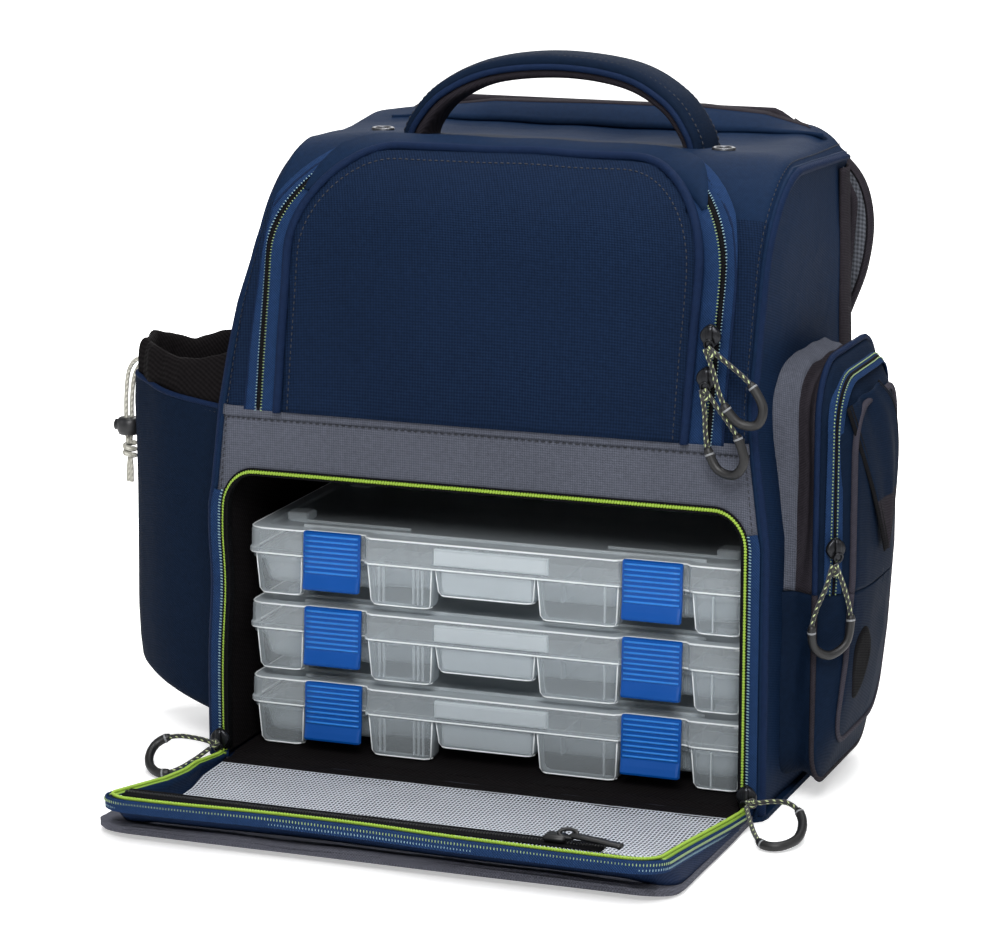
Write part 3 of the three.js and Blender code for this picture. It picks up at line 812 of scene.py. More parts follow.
def build_lid_pad(outline, stitch_line):
    """Closed pad, held round its underside and inflated; the stitches lie on the result."""
    def crown(p, r):
        return 4.2 + 4.6 * (1 - r ** 3.2) + 0.7 * ripple(p[:, 0], p[:, 1], size=45, seed=8) * (1 - r ** 4)

    flat, h, faces = polar_pad(outline, 16, crown)
    count, rim = len(flat), len(outline)
    face, under = on_skin(flat, h)[0], on_skin(flat, 0.8)[0]
    edge = [(j, (j + 1) % rim, (j + 1) % rim + count, j + count) for j in range(rim)]
    shut = [f[::-1] for f in faces] + [tuple(i + count for i in f) for f in faces] + edge
    pad = piece("lid_pad", np.vstack([face, under]), shut, NAVY, "front_lid", hides=("front_lid", "lid_zip"))
    anchors = settle(under)[::max(count // 900, 1)]

    def held(p):
        return np.min(np.linalg.norm(p[:, None] - anchors[None], axis=2), axis=1) < 4.6

    puff_up(pad, held, 5.0)
    q, m = on_skin(stitch_line, 6.2)
    stitches("pad_stitch", drop_onto(pad, settle(q), m), m, DARK_THREAD, "front_lid", 3.2, lift=0.15)


# ---------------------------------------------------------------- inside and base

def build_inside():
    """Finishes for the boards kept from the frame, and the black lining of the tray bay."""
    for name, look in (("floor_board", LINER), ("base_panel", NAVY_FINE)):
        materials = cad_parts[name].data.materials
        materials.clear()
        materials.append(look)
    y, z = grid(-85, 73, 50, 7, 166, 50)
    for side, s in SIDES:
        fold = 1.4 * ripple(y, z, size=55, seed=12 + s) - 3.0 * ramp(z, 150, 166) ** 2
        sheet(f"bay_lining_{side}", xyz(s * (141.6 + fold), y, z), LINER, "bag")
    x, z = grid(-141, 141, 60, 7, 166, 40)
    sheet("bay_lining_rear", xyz(x, 72.4 + 0.8 * ripple(x, z, size=60, seed=15), z), LINER, "bag")
    shelf_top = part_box("divider_shelf")[1][2] / MM
    x, y = grid(-139, 139, 60, -80, 73, 40)
    z = shelf_top - 0.4 + np.minimum(1.2 * ripple(x, y, size=70, seed=16), 0)
    sheet("divider_cloth", xyz(x, y, z), LINER, "bag", thick=2.2, hides=("divider_shelf",))


# ---------------------------------------------------------------- tray door

# The open door lies from DOOR_Y0 out to DOOR_Y1; its rim leans out past its face by TUCK at the front
DOOR_Y0, DOOR_Y1, TUCK = -92.0, -243.0, 20.0


def draw_in(p):
    """The left zip run bows inwards before its front corner, and the front edge sags a little."""
    p = np.array(p, float)
    x, y = p[..., 0].copy(), p[..., 1].copy()
    bow = np.interp(-y, [90, 128, 150, 178, 200, 225, 243], [0, 1, 5, 7, 5, 2, 2])
    p[..., 0] = x + bow * ramp(x, -60, -140) + 2 * ramp(x, 60, 140)
    p[..., 1] = y + 5 * np.exp(-((x + 30) / 75) ** 2) * ramp(y, -200, -240)
    return p


def kick_out(p):
    """The door's felt face runs out past its left wall towards the front."""
    p = np.array(p, float)
    p[..., 0] -= 8 * ramp(p[..., 0], -100, -146) * ramp(p[..., 1], -110, -170)
    return p


def door_floor(y):
    """Height of the door panel's top face at y, flat and then rising to the front edge."""
    return 3.3 + 8.2 * ramp(y, -195, -240) ** 1.3


def rim_top(y):
    """Height of the rim's top edge at y, rising to the front."""
    return 9.2 + 18.8 * ramp(y, -100, -243)


def door_plan(inset, back, step=3.0, tuck=0.0):
    """Left edge, round the two front corners and back up the right edge, as (x, y)."""
    r = max(19.0 - inset, 2)
    p = rounded_path(-146 + inset, 145 - inset, back, DOOR_Y1 + inset + tuck, r, (14, 11, 24), step)
    wobble = 1.5 * ripple(p[:, 0], p[:, 1], size=55, seed=21) * ramp(p[:, 1], back, back - 30)
    return p + wobble[:, None] * np.array([0.6, 0.8])


def outward(line):
    """Level directions away from the middle of an (x, y) line."""
    return unit(np.column_stack([line - line.mean(0), np.zeros(len(line))]))


def door_wall(name, inset, low, high, look, hides=()):
    """Upright wall following the door's edge, from low above the door's face to high below the rim's top."""
    p = door_plan(inset, -96)
    foot = recount(door_plan(inset, -96, tuck=TUCK), len(p))
    bottom, top = door_floor(p[:, 1]) + low, rim_top(p[:, 1]) - high
    rows = [np.column_stack([foot * (1 - t) + p * t, bottom * (1 - t) + top * t])
            + outward(p) * (1.1 * math.sin(math.pi * t)) for t in np.linspace(0, 1, 5)]
    return sheet(name, np.stack(rows, 1), look, "tray_door", thick=2.0, offset=0, hides=hides)


def build_door():
    """Felt-faced panel, raised rim with its zip, net, lining and cloth hinge."""
    body = "tray_door"
    x, y = grid(-1, 1, 81, DOOR_Y0, DOOR_Y1 + TUCK - 1.5, 60)
    r = 20.0
    short = r - np.sqrt(np.maximum(r * r - np.clip(DOOR_Y1 + TUCK + r - y, 0, r) ** 2, 0))
    wave = 1.3 * ripple(x * 140, y, size=60, seed=22)
    z = door_floor(y) - 0.2 + 0.5 * wave * ramp(y, -120, -160)
    edge = ramp(np.abs(x), 0.97, 1) * 1.2
    points = xyz(x * (np.where(x < 0, 147.5, 146.5) - short), y + wave * ramp(y, -200, -240),
                 np.maximum(z - edge, 2.9))
    sheet("door_outer", points, FELT, body, True, 2.6, 1.0, hides=("door_panel",))
    x, y = door_plan(0.8, -93, 2.5, TUCK).T
    sweep("door_base_binding", xyz(x, y, door_floor(y) - 0.6), strap_section(3.4, 6.0), FELT, body)
    door_wall("door_wall_outer", 2.4, 0.6, 1.4, NAVY_TRIM, ("door_rim",))
    door_wall("door_wall_inner", 7.0, 0.3, 1.0, NAVY_FINE)
    build_door_zip(body)
    build_net(body)
    x, y = grid(-138, 137, 30, -97, -226, 16)
    sheet("door_lining", xyz(x, y, np.minimum(door_floor(y) + 0.8, 10)), NET_SHADE, body, True)
    build_hinge_cloth()


def build_door_zip(body):
    """Lime teeth along the rim's top, with two stitch rows and a blue tape outside."""
    top = door_plan(4.4, -93, 1.6)
    line = np.column_stack([top, rim_top(top[:, 1]) + 0.3])
    for side, s in SIDES:
        run = (s * top[:, 0] > 120) & (top[:, 1] > -228)
        sweep(f"door_zip_flange_{side}", line[run] - [0, 0, 1.5], strap_section(4.4, 1.2), LIME_TAPE, body)
    sweep("door_zip_core", line - [0, 0, 0.4], round_section(0.8, 6), LIME, body)
    bead_row("door_zip_teeth", line, (0, 0, 1), (0.7, 1.0, 0.85), LIME, body, 1.5, (0, -0.1), 0.3, (8, 3))
    w = door_plan(2.4, -100, 1.6)

    def below(drop, out):
        return np.column_stack([w, rim_top(w[:, 1]) - drop]) + outward(w) * out

    for k, (drop, out, look) in enumerate(((2.4, 2.3, GREEN_THREAD), (5.0, 1.85, PALE_THREAD))):
        bead_row(f"door_zip_stitch_{k}", below(drop, out), (0, 0, 1), (0.34, 0.32, 0.8), look, body)
    sweep("door_wall_tape", below(3.7, 1.5)[1:-1], strap_section(0.9, 6.4), TAPE, body)


def net_height(x, y):
    """The net sags between the hinge and its zip."""
    t = ramp(y, -105, -230)
    return 6.3 + 20.4 * t ** 5 + 0.5 * ripple(x, y, size=45, seed=24) * np.sin(math.pi * t)


def build_net(body):
    """Open net made of crossing threads, and its zip."""
    parts = []
    y0, y1 = -104.0, -229.0

    def thread(x, y, lift, across, width):
        line = xyz(x, y, net_height(x, y) + lift)
        side = np.array(across) * width / 2
        faces = [(2 * i, 2 * i + 2, 2 * i + 3, 2 * i + 1) for i in range(len(line) - 1)]
        parts.append((np.stack([line - side, line + side], 1).reshape(-1, 3), faces))

    for x in np.arange(-137, 136.5, 1.95):
        y = np.linspace(y0, y1, 26)
        thread(x + 0.5 * ripple(y, np.full_like(y, x), size=40, seed=25), y, 0, [1, 0, 0], 0.75)
    for y in np.arange(y0, y1, -3.1):
        x = np.linspace(-137.5, 136.5, 90)
        thread(x, y + 0.8 * ripple(x, np.full_like(x, y), size=60, seed=26), 0.15, [0, -1, 0], 0.95)
    piece("door_net", *merge(parts), NET, body, hides=("door_mesh",))
    p = xyz(np.linspace(-133, 114, 60), -224.0, 26.0)
    sweep("mesh_zip_tape", p, strap_section(11, 0.9), BLACK_TAPE, body, hides=("mesh_zip",))
    bead_row("mesh_zip_teeth", p, (0, 0, 1), (0.6, 1.7, 0.8), RUBBER, body, 1.5, (0, 0.5))


def build_hinge_cloth():
    """Black cloth from the floor of the bag out onto the door."""
    x, y = grid(-138, 138, 60, -80, -112, 24)
    z = 7.0 - 0.9 * ramp(y, -88, -108) - 1.2 * np.exp(-((y + 91) / 3.5) ** 2)
    z = z + 0.25 * ripple(x, y, size=30, seed=27)
    obj = sheet("hinge_cloth", xyz(x, y, z), LINER, None, True)
    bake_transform(obj)


# ---------------------------------------------------------------- tackle trays

def closed_loft(rings, cap_low=True, cap_high=True):
    """Joins closed rings of equal length into one skin."""
    n = len(rings[0])
    v = np.vstack(rings)
    f = [(i * n + j, i * n + (j + 1) % n, (i + 1) * n + (j + 1) % n, (i + 1) * n + j)
         for i in range(len(rings) - 1) for j in range(n)]
    if cap_low:
        f.append(tuple(range(n - 1, -1, -1)))
    if cap_high:
        f.append(tuple(range((len(rings) - 1) * n, len(rings) * n)))
    return v, f


def tray_ring(z, inset=0.0, top_part=True):
    """Outline of a tray: rounded corners, a forward centre section and two latch recesses."""
    half, y0, y1, r = 137.4 - inset, -69.6 + inset, 69.8 - inset, 7
    proud = (-72.4 if top_part else y0) + inset
    notch = y0 + 2.6
    right = [(69.5 - inset, proud), (71.2, notch), (103.8, notch), (105.5, y0), (half - r, y0)]
    left = [(-x, y) for x, y in right][::-1]

    def corner(cx, cy, start):
        a = np.radians(start + np.arange(0, 91, 30))
        return list(zip(cx + r * np.cos(a), cy + r * np.sin(a)))

    pts = (left + right + corner(half - r, y0 + r, -90)[1:] + corner(half - r, y1 - r, 0)
           + corner(-half + r, y1 - r, 90) + corner(-half + r, y0 + r, 180)[:-1])
    return np.array([(x, y, z) for x, y in pts])


def block(x0, x1, y0, y1, z0, z1, bevel=0.6):
    """Rounded-edge block as rings stacked in z."""
    def ring(z, b):
        c = bevel
        return np.array([(x0 + b + c, y0 + b, z), (x1 - b - c, y0 + b, z), (x1 - b, y0 + b + c, z),
                         (x1 - b, y1 - b - c, z), (x1 - b - c, y1 - b, z), (x0 + b + c, y1 - b, z),
                         (x0 + b, y1 - b - c, z), (x0 + b, y0 + b + c, z)])
    return closed_loft([ring(z0, bevel), ring(z0 + bevel, 0), ring(z1 - bevel, 0), ring(z1, bevel)])


TRAY_FOOT, TRAY_PITCH, TRAY_SPLIT, TRAY_HEIGHT = 7.6, 40.4, 22.4, 36.4
LATCH_X = 87.0


def build_tray(n):
    """Clear tray: tub, lid, dividers, moulded ribs, cups along the front and two clips."""
    z0 = TRAY_FOOT + TRAY_PITCH * (n - 1)
    split, top, body = z0 + TRAY_SPLIT, z0 + TRAY_HEIGHT, f"tray_{n}"
    levels = ((z0 + 6.2, 9.0), (z0 + 7.4, 7.6), (split - 3.4, 5.0), (split - 3.0, 1.6), (split - 0.4, 1.4),
              (split - 0.4, 2.6), (split - 3.2, 5.4), (z0 + 8.6, 7.4))
    tub = closed_loft([tray_ring(z, k, False) for z, k in levels])
    round_edges(piece(f"{body}_tub", *tub, CLEAR, body, hides=(f"{body}_base",), smooth=False))
    levels = ((split + 0.2, 1.6), (split + 0.3, 0.1), (split + 2.6, 0.0), (split + 3.2, 0.7),
              (top - 1.8, 0.9), (top - 0.4, 1.5), (top, 2.6), (top, 8.0), (top - 1.2, 9.4))
    lid = closed_loft([tray_ring(z, k) for z, k in levels], cap_low=False)
    round_edges(piece(f"{body}_cover", *lid, CLEAR_LID, body, hides=(f"{body}_lid",), smooth=False))
    walls = [block(-132, 132, y - 0.5, y + 0.5, z0 + 8.6, split - 1.2, 0.2) for y in (-33.3, 1.0, 35.0)]
    walls += [block(x - 0.5, x + 0.5, -62, 62, z0 + 8.6, split - 1.6, 0.2)
              for x in (-101, -69.3, -35, 35, 69.3, 101)]
    piece(f"{body}_dividers", *merge(walls), CLEAR, body, smooth=False)
    ribs = [block(x - 0.4, x + 0.4, -71.4, -69.4, z0 + 3, split - 1, 0.25)
            for x in (-62, -59.5, -43, -40.5, -38, 61, 118)]
    for s in (-1, 1):
        ribs += [block(s * 118 - 6, s * 118 + 6, y - 6, y + 6, top - 1.4, top + 3.4, 0.8) for y in (-40, 45)]
        ribs.append(block(s * LATCH_X - 33, s * LATCH_X + 33, -46, -45.2, top - 1.3, top + 0.2, 0.2))
    ribs += [block(-110, 110, y - 0.5, y + 0.5, top - 1.4, top + 0.3, 0.2) for y in (-56, 54)]
    piece(f"{body}_ribs", *merge(ribs), CLEAR_EDGE, body, smooth=False)
    build_bins(body, z0, split)
    panel = closed_loft([xyz([k - 31, 31 - k, 31 - k, k - 31], y,
                             [split + 2.6 + k, split + 2.6 + k, top - 2.6 - k, top - 2.6 - k])
                         for y, k in ((-70.5, 0), (-73.0, 0.3), (-73.5, 1.2))])
    milky = [block(-28, 21, y, y + 0.7, z0 + 9.4, split - 1.2, 0.2) for y in (-69.2, -66.4)]
    piece(f"{body}_front_panel", *merge([panel] + milky), CLEAR_EDGE, body, smooth=False)
    # Painted highlight: near-white tubes round the lid's step and its top stand in for the light caught along
    # those edges.
    for name, outline in (("step", tray_ring(split + 0.4, 0.25)), ("top", tray_ring(top - 0.5, 1.2))):
        line = resample(np.vstack([outline, outline[:1]]), 4.0)[:-1]
        sweep(f"{body}_{name}_edge", line, round_section(0.5, 6), EDGE_PAINTED_HIGHLIGHT, body, closed=True)
    for side, s in SIDES:
        build_latch(f"{body}_latch_{side}", s * LATCH_X, top)


# Cups along a tray's front: left, right, front and height of the foot
BINS = ((-133.0, -105.6, -69.4, 0.2), (-69.0, -32.0, -72.6, 0.2), (-32.0, 24.0, -71.6, 7.5),
        (24.0, 69.0, -72.6, 0.2), (105.6, 133.0, -69.4, 0.2))


def build_bins(body, z0, split):
    """Rounded cups that stand out along the front, with near-white tubes along their lower edges and corners
    as painted highlights.
    """
    cups, edges = [], []
    a = np.linspace(0.3, 1.3, 4)

    def ring(cup, z, k):
        x0, x1, front, _ = cup
        r, c, w, y = 4.5, (x0 + x1) / 2, (x1 - x0) / 2 - k, front + k
        right = np.r_[w - r, w - r + r * np.sin(a), w, w]
        depth = np.r_[y, y + r - r * np.cos(a), y + r, -60]
        left = [w, w, *(w - r + r * np.cos(a)), w - r]
        rise = [-60, y + r, *(y + r - r * np.sin(a)), y]
        return xyz(c + np.r_[-np.array(left), right], np.r_[rise, depth], z)

    for cup in BINS:
        low = z0 + cup[3]
        levels = ((low, 4.2), (low + 1.0, 2.4), (low + 3.2, 1.3), (split - 0.4, 0.1))
        rings = [ring(cup, z, k) for z, k in levels]
        n = len(rings[0])
        faces = [(i * n + j, i * n + j + 1, (i + 1) * n + j + 1, (i + 1) * n + j)
                 for i in range(3) for j in range(n - 1)] + [tuple(range(n - 1, -1, -1))]
        cups.append((np.vstack(rings), faces))
        # painted highlight: tubes along each cup's lower front edge and two of its upright corners
        edges.append(swept(rings[1][1:-1] - [0, 0.1, 0], round_section(0.4, 6), (0, 0, 1)))
        for j in (3, n - 4):
            upright = np.array([row[j] for row in rings[1:]]) - [0, 0.15, 0]
            edges.append(swept(upright, round_section(0.36, 6), (0, 1, 0)))
    piece(f"{body}_bins", *merge(cups), CLEAR_CUP, body)
    piece(f"{body}_bin_edges", *merge(edges), EDGE_PAINTED_HIGHLIGHT, body)


def round_edges(obj, width=0.5):
    """Small rounding, in millimetres, on an object's sharp edges."""
    m = obj.modifiers.new("rounded", "BEVEL")
    m.width, m.segments, m.limit_method, m.angle_limit = width * MM, 2, "ANGLE", math.radians(35)
    return obj


def build_latch(name, x, lid_top):
    """Hinged clip: hook over the lid, ridged grip and a flared lower lip."""
    top = lid_top + 2.8
    profile = np.array([
        (-70.2, -2.2), (-71.6, -1.8), (-72.8, -2.6), (-73.4, -5.0), (-73.9, -10), (-74.3, -16), (-74.5, -22),
        (-75.0, -26.5), (-76.2, -30), (-77.2, -33.6), (-76.8, -34.9), (-75.6, -34.6), (-74.6, -31.5),
        (-73.2, -28), (-72.2, -24), (-71.8, -14), (-71.2, -6), (-70.2, -4)])
    mid, rings = profile.mean(0), []
    for u, k in ((-15.9, 0.5), (-15.3, 0.9), (-14, 1.0), (14, 1.0), (15.3, 0.9), (15.9, 0.5)):
        y, z = (mid + (profile - mid) * [k, 1 - (1 - k) * 0.05]).T
        rings.append(xyz(x + u, y, top + 0.92 * z)[::-1])
    round_edges(piece(name + "_clip", *closed_loft(rings), LATCH, name, hides=(name,), smooth=False), 0.4)
    ridges = []
    for depth in 4.2 + 2.95 * np.arange(8):
        y = np.interp(depth, -profile[2:9, 1], profile[2:9, 0]) - 0.1
        line = xyz(np.linspace(x - 14.6, x + 14.6, 8), y, top - 0.92 * depth)
        ridges.append(swept(line, round_section(0.6, 8), (0, 0, 1)))
    piece(name + "_ridges", *merge(ridges), LATCH_PALE, name)


# ---------------------------------------------------------------- sliders and cord pullers

def rotation(axis, angle):
    """Turn about one of the three axes, as a matrix."""
    return np.array(Matrix.Rotation(angle, 3, axis.upper()))


def build_slider(name, centre, turn=np.eye(3)):
    """Zip slider: waisted body, bridge over it and a ring for the cord."""
    a = circle(24)
    wide = 4.7 - 0.9 * np.sin(a) ** 2 + 0.6 * np.cos(2 * a)
    shell = closed_loft([xyz(k * wide * np.cos(a), y, k * 5.9 * np.sin(a))
                         for y, k in ((0, 0.9), (-0.8, 1.0), (-2.2, 1.0), (-3.0, 0.86))])
    arch = [(0, -2.6, 5.0), (0, -4.0, 4.4), (0, -4.6, 1.5), (0, -4.5, -2), (0, -3.9, -4.6), (0, -2.8, -5.2)]
    bridge = swept(spline(arch, 0.8), strap_section(3.0, 1.0), (0, -1, 0))
    a = circle(20)
    loop = swept(xyz(2.2 * np.sin(a), -4.4 - np.cos(a), -4.0 + 2.6 * np.cos(a)), round_section(0.65, 6),
                 (0, -1, 0.3), closed=True)
    v, f = merge([shell, bridge, loop])
    piece(name + "_body", v @ turn.T + np.asarray(centre, float), f, METAL, name, hides=(name,))


def cord_loop(name, path, up, knot_at):
    """Flecked cord along a path, knotted at the slider and gripped at its far end by a rubber sleeve."""
    sweep(name + "_cord", path, round_section(1.25, 8), CORD, name, up, hides=(name,))
    sleeve = path[int(len(path) * 0.27):int(len(path) * 0.72)]
    sweep(name + "_sleeve", sleeve, round_section(2.35, 12), RUBBER, name, up,
          scale=np.minimum(1, 0.75 + 0.12 * to_rim(len(sleeve))))
    for k, i in enumerate((3, len(sleeve) - 4)):
        sweep(f"{name}_band_{k}", sleeve[i - 1:i + 1], round_section(2.45, 12), BAND_GREY, name, up)
    sweep(name + "_knot", spline(knot_at, 0.7), round_section(1.3, 8), CORD, name, up)


def build_puller(name, pivot, h, w, turn, twist):
    """Cord loop of length h and half width w, hanging from the pivot in its own turned plane."""
    knots = np.array([(0.9, 0.0), (0.5 * w, -0.25 * h), (0.86 * w, -0.48 * h), (w, -0.66 * h),
                      (0.82 * w, -0.88 * h), (0, -0.985 * h), (-0.82 * w, -0.88 * h), (-w, -0.66 * h),
                      (-0.8 * w, -0.46 * h), (-0.4 * w, -0.24 * h), (-0.9, 0.0)])
    depth = twist * np.sin(np.linspace(0, FULL_TURN, len(knots)))
    path = spline(xyz(knots[:, 0], depth, knots[:, 1]), 1.0)
    knot = np.array([(0.0, 0.4, -1.0), (1.3, -0.6, -3.2), (0.0, -1.2, -5.0), (-1.3, 0.2, -3.4),
                     (0, 0.9, -1.6)])
    path, knot = (p @ turn.T + np.asarray(pivot, float) for p in (path, knot))
    cord_loop(name, path, turn @ np.array([0, 1.0, 0]), knot)


DOOR_LOOPS = {
    "left": [(-144.5, -97, 13.5), (-148.5, -99, 15.5), (-155, -99.7, 16.5), (-163, -99.5, 16.5),
             (-170.5, -101, 15), (-175.3, -104.5, 11.5), (-175, -112, 7.5), (-170.5, -119.3, 4.4),
             (-163, -124, 3.4), (-155.5, -121, 5), (-149.5, -112, 8.5), (-145.5, -101, 12)],
    "right": [(144.5, -96, 13.5), (151.4, -97.5, 14.5), (158.5, -96, 15.5), (166, -95, 15),
              (172.5, -98.4, 12), (176.5, -107, 8), (176.5, -118, 4.6), (170.5, -127.5, 3.4),
              (162.4, -127.3, 3.4), (156.3, -120.5, 5.5), (150.7, -110.5, 9), (145.5, -99.5, 12)]}


def build_zip_hardware():
    """Every slider with its puller, and the net zip's flat tab."""
    for end, z, place, half, tilt, twist in (("upper", 247, (118.5, -101.5, 242), 8.0, 36, 2),
                                             ("lower", 226, (118, -99.6, 221), 9.0, 22, -2)):
        build_slider(f"lid_slider_{end}", lean((118.5, -94.6, z)))
        build_puller(f"lid_puller_{end}", lean(place), 45, half, rotation("y", -math.radians(tilt)), twist)
    for side, s in SIDES:
        build_slider(f"door_slider_{side}", (s * 143.3, -90.9, 15.2))
        knot = np.array([(0, 0, 0), (1.6, 0.8, 1.2), (3.4, -0.6, 0.2), (2.0, -1.2, -1.2), (0.2, 0.2, -0.6)])
        knot += [s * 146.0, -97.0, 13.6]
        cord_loop(f"door_puller_{side}", spline(DOOR_LOOPS[side], 1.0), (0, 0.4, 1), knot)
    build_slider("side_slider", (176.2, -57.8, 137), rotation("z", math.pi / 4))
    build_puller("side_puller", (178, -63.5, 130), 47, 11.5, rotation("z", 0.55), 3)
    piece("mesh_slider_body", *block(84.5, 95.5, -228.4, -220, 26.8, 30.4, 1.1), RUBBER, "mesh_slider",
          hides=("mesh_slider",))
    line = spline([(98, -224, 30.4), (104, -226, 30.6), (112, -227, 30.2), (124, -229, 29.4)], 1.2)
    a = np.linspace(0.2, FULL_TURN - 0.2, 18)
    eye = xyz(96 + 4.6 * np.cos(a), -224 + 2.0 * np.sin(a), 31 + 1.6 * np.sin(a))
    tab = merge([swept(line, strap_section(4.6, 2.2), (0, 0, 1)),
                 swept(eye, round_section(1.0, 8), (0, 0, 1), closed=True)])
    piece("mesh_puller_tab", *tab, RUBBER, "mesh_puller", hides=("mesh_puller",))


# ---------------------------------------------------------------- handle and eyelets

def oval(w, h):
    """Squarish oval section, w and h being half sizes."""
    a = circle(20)
    c, s = np.cos(a), np.sin(a)
    return np.column_stack([w * np.sign(c) * np.abs(c) ** 0.75, h * np.sign(s) * np.abs(s) ** 0.75])


def build_handle():
    """Padded strap over a charcoal underside, bound and stitched along both edges."""
    body, middle = "carry_handle", 16.0
    half = [(76, -14, 323), (72.5, -13.5, 334), (60, -11, 349), (36, -7, 360.5)]
    arch = [(-x, y, z) for x, y, z in half] + [(0, -5.5, 364.5)] + half[::-1]
    p = spline(np.array(arch) + [middle, 0, 0], 3.0)
    up = unit(np.cross(unit(np.gradient(p, axis=0)), (0, 1, 0)))
    up *= np.sign(up[len(up) // 2, 2])
    u = np.linspace(-1, 1, len(p))
    wide = 1.0 + 0.28 * np.abs(u) ** 3
    soft = 1 + 0.03 * ripple(np.arange(len(p)) * 3.0, size=25, seed=31)
    scale = np.column_stack([wide, soft * (1 - 0.25 * np.abs(u) ** 6)])
    sweep("handle_top", p + up * 2.2, oval(14.2, 4.6), NAVY_DEEP, body, up, scale=scale, hides=(body,))
    sweep("handle_under", p - up * 2.6, oval(12.8, 3.8), CHARCOAL, body, up, scale=scale)
    _, side, normal = frames(p, up)
    for k, s in enumerate((-1, 1)):
        edge = p + side * (s * 13.9 * wide)[:, None] + normal * 0.2
        sweep(f"handle_piping_{k}", edge, round_section(1.7, 8), NAVY_TRIM, body, up)
        line = p + side * (s * 10.4 * wide)[:, None] + normal * 5.5
        stitches(f"handle_stitch_{k}", line, up, DARK_THREAD, body, 3.2, lift=0.1)
    build_eyelet("eyelet_left", -82, -12)
    build_eyelet("eyelet_right", 108, -30)


def build_eyelet(name, x, y):
    """Metal ring with a sloping flange round a dark hole."""
    z = skin_height(x, y)
    a = circle(40)

    def ring(r, lift):
        return xyz(x + r * np.cos(a), y + r * np.sin(a), z + lift)

    metal = merge([swept(ring(4.9, 0.8), round_section(1.15, 8, 0.8), (0, 0, 1), closed=True),
                   closed_loft([ring(6.0, 0.4), ring(6.0, 1.1), ring(4.9, 1.3)], False, False)])
    piece(name + "_ring", *metal, STEEL, "bag", hides=(name,))
    piece(name + "_hole", *closed_loft([ring(4, 0.65), ring(4, 0.45)]), BLACK_TAPE, "bag")


def skin_height(x, y):
    """Height of the settled top at a place in the finished bag."""
    p, _ = wrap_point([x - 6.0], [ARC_Z + ARC_LEN + (y - ARC_Y)])
    return float(settle(p)[0, 2])


# ---------------------------------------------------------------- bottle pocket

POCKET_X, POCKET_Y = -146, -16
CORD_X, CORD_Y = -227.6, -20


def half_oval(n):
    """Angles of a half turn, from the bag's side out and back to it."""
    return np.linspace(math.pi / 2, 3 * math.pi / 2, n)


def pocket_ring(a, b, z, folds=0.0):
    """Half-oval of half sizes a and b round the bottle pocket at height z, with its slope."""
    th = half_oval(64)
    r = 1 + folds * (0.6 * np.sin(9 * th + 40) + 0.4 * ripple(th * 30, np.full(64, z), size=25, seed=40))
    row = xyz(POCKET_X + (a + 4.6) * np.cos(th) * r, POCKET_Y + b * np.sin(th) * r, z)
    row[:, 2] += pocket_slope(row, z)
    return row


def pocket_slope(row, z):
    """The foot rises outwards and the hem drops a little, both uneven."""
    uneven = 2.0 * ripple(row[:, 0], row[:, 1], size=60, seed=41)
    out = -170 - row[:, 0]
    return np.interp(z, [23, 90, 188], [0.27, 0.0, 0.09]) * out + uneven * np.interp(z, [23, 90], [0.3, 1])


def build_bottle_pocket():
    """Tapered cloth tube with its foot, stitched hem, collar and drawcord."""
    rows = np.array([pocket_ring(a, b, z, k) for z, a, b, k in (
        (22.4, 58, 38, 0.0), (23, 65.5, 42.5, 0.004), (26, 68.2, 44.6, 0.008), (38, 69.4, 45.4, 0.01),
        (60, 69.8, 45.8, 0.01), (95, 69.4, 45.8, 0.014), (130, 68.9, 45.4, 0.016), (156, 68.6, 45, 0.018),
        (174, 68.6, 44.6, 0.024), (183, 68.4, 44.4, 0.028), (188, 68.2, 44.2, 0.03))])
    _, y, z = np.moveaxis(rows, 2, 0)
    rows[:, :, 0] -= 1.2 * ripple(y * 1.6, z * 0.45, size=24, seed=45) * ramp(z, 40, 120)
    fine = np.array([recount(column, 44) for column in rows.transpose(1, 0, 2)])
    sheet("bottle_tube", fine, NAVY_DEEP, "bag", thick=1.6, offset=1, hides=("bottle_pocket",))
    foot = np.vstack([pocket_ring(64, 41.5, 22.8), [(POCKET_X, POCKET_Y, 20.5)]])
    piece("bottle_floor", foot, [(i, i + 1, 64) for i in range(63)], NAVY_DEEP, "bag")
    for k, z in enumerate((184.0, 181.6)):
        line = pocket_ring(69.6, 45.6, z, 0.028)
        stitches(f"bottle_hem_stitch_{k}", line, (0, 0, 1), DARK_THREAD, "bag", 3.0)
    sweep("bottle_hem", pocket_ring(69.2, 45.2, 187.6, 0.03), round_section(1.5, 8), NAVY_TRIM, "bag")
    build_collar()
    build_drawcord()


def build_collar():
    """Gathered black collar with a rolled, uneven top edge."""
    rows, th = [], half_oval(150)
    gather = 0.8 * np.sin(15 * th + 1.5 * np.sin(2 * th)) + 0.35 * np.sin(31 * th + 2)
    top_wave = 2.4 * np.sin(4 * th + 1) + 1.3 * np.sin(7 * th)
    for a, b, z, g, t in (
            (67.4, 43.6, 184, 0.3, 0), (68.4, 44.2, 189.5, 0.9, 0.1), (68.6, 44.4, 196, 1.5, 0.3),
            (68.0, 43.8, 202, 1.8, 0.6), (67.4, 43.2, 207, 1.8, 0.9), (66.0, 42, 210.2, 1.5, 1),
            (63.4, 39.8, 211.4, 1.2, 1), (61.2, 37.8, 209, 1.0, 0.9), (60.2, 36.8, 201, 0.9, 0.5),
            (61, 37.5, 176, 0.3, 0), (61.5, 38, 130, 0, 0)):
        out = 0.8 * g * gather
        rows.append(xyz(POCKET_X + (a + 4.6 + out) * np.cos(th), POCKET_Y + (b + out) * np.sin(th),
                        z + t * top_wave + 0.4 * g * gather))
    smooth_more(sheet("bottle_collar_gathered", np.stack(rows, 1), LINER, "bag", hides=("bottle_collar",)))


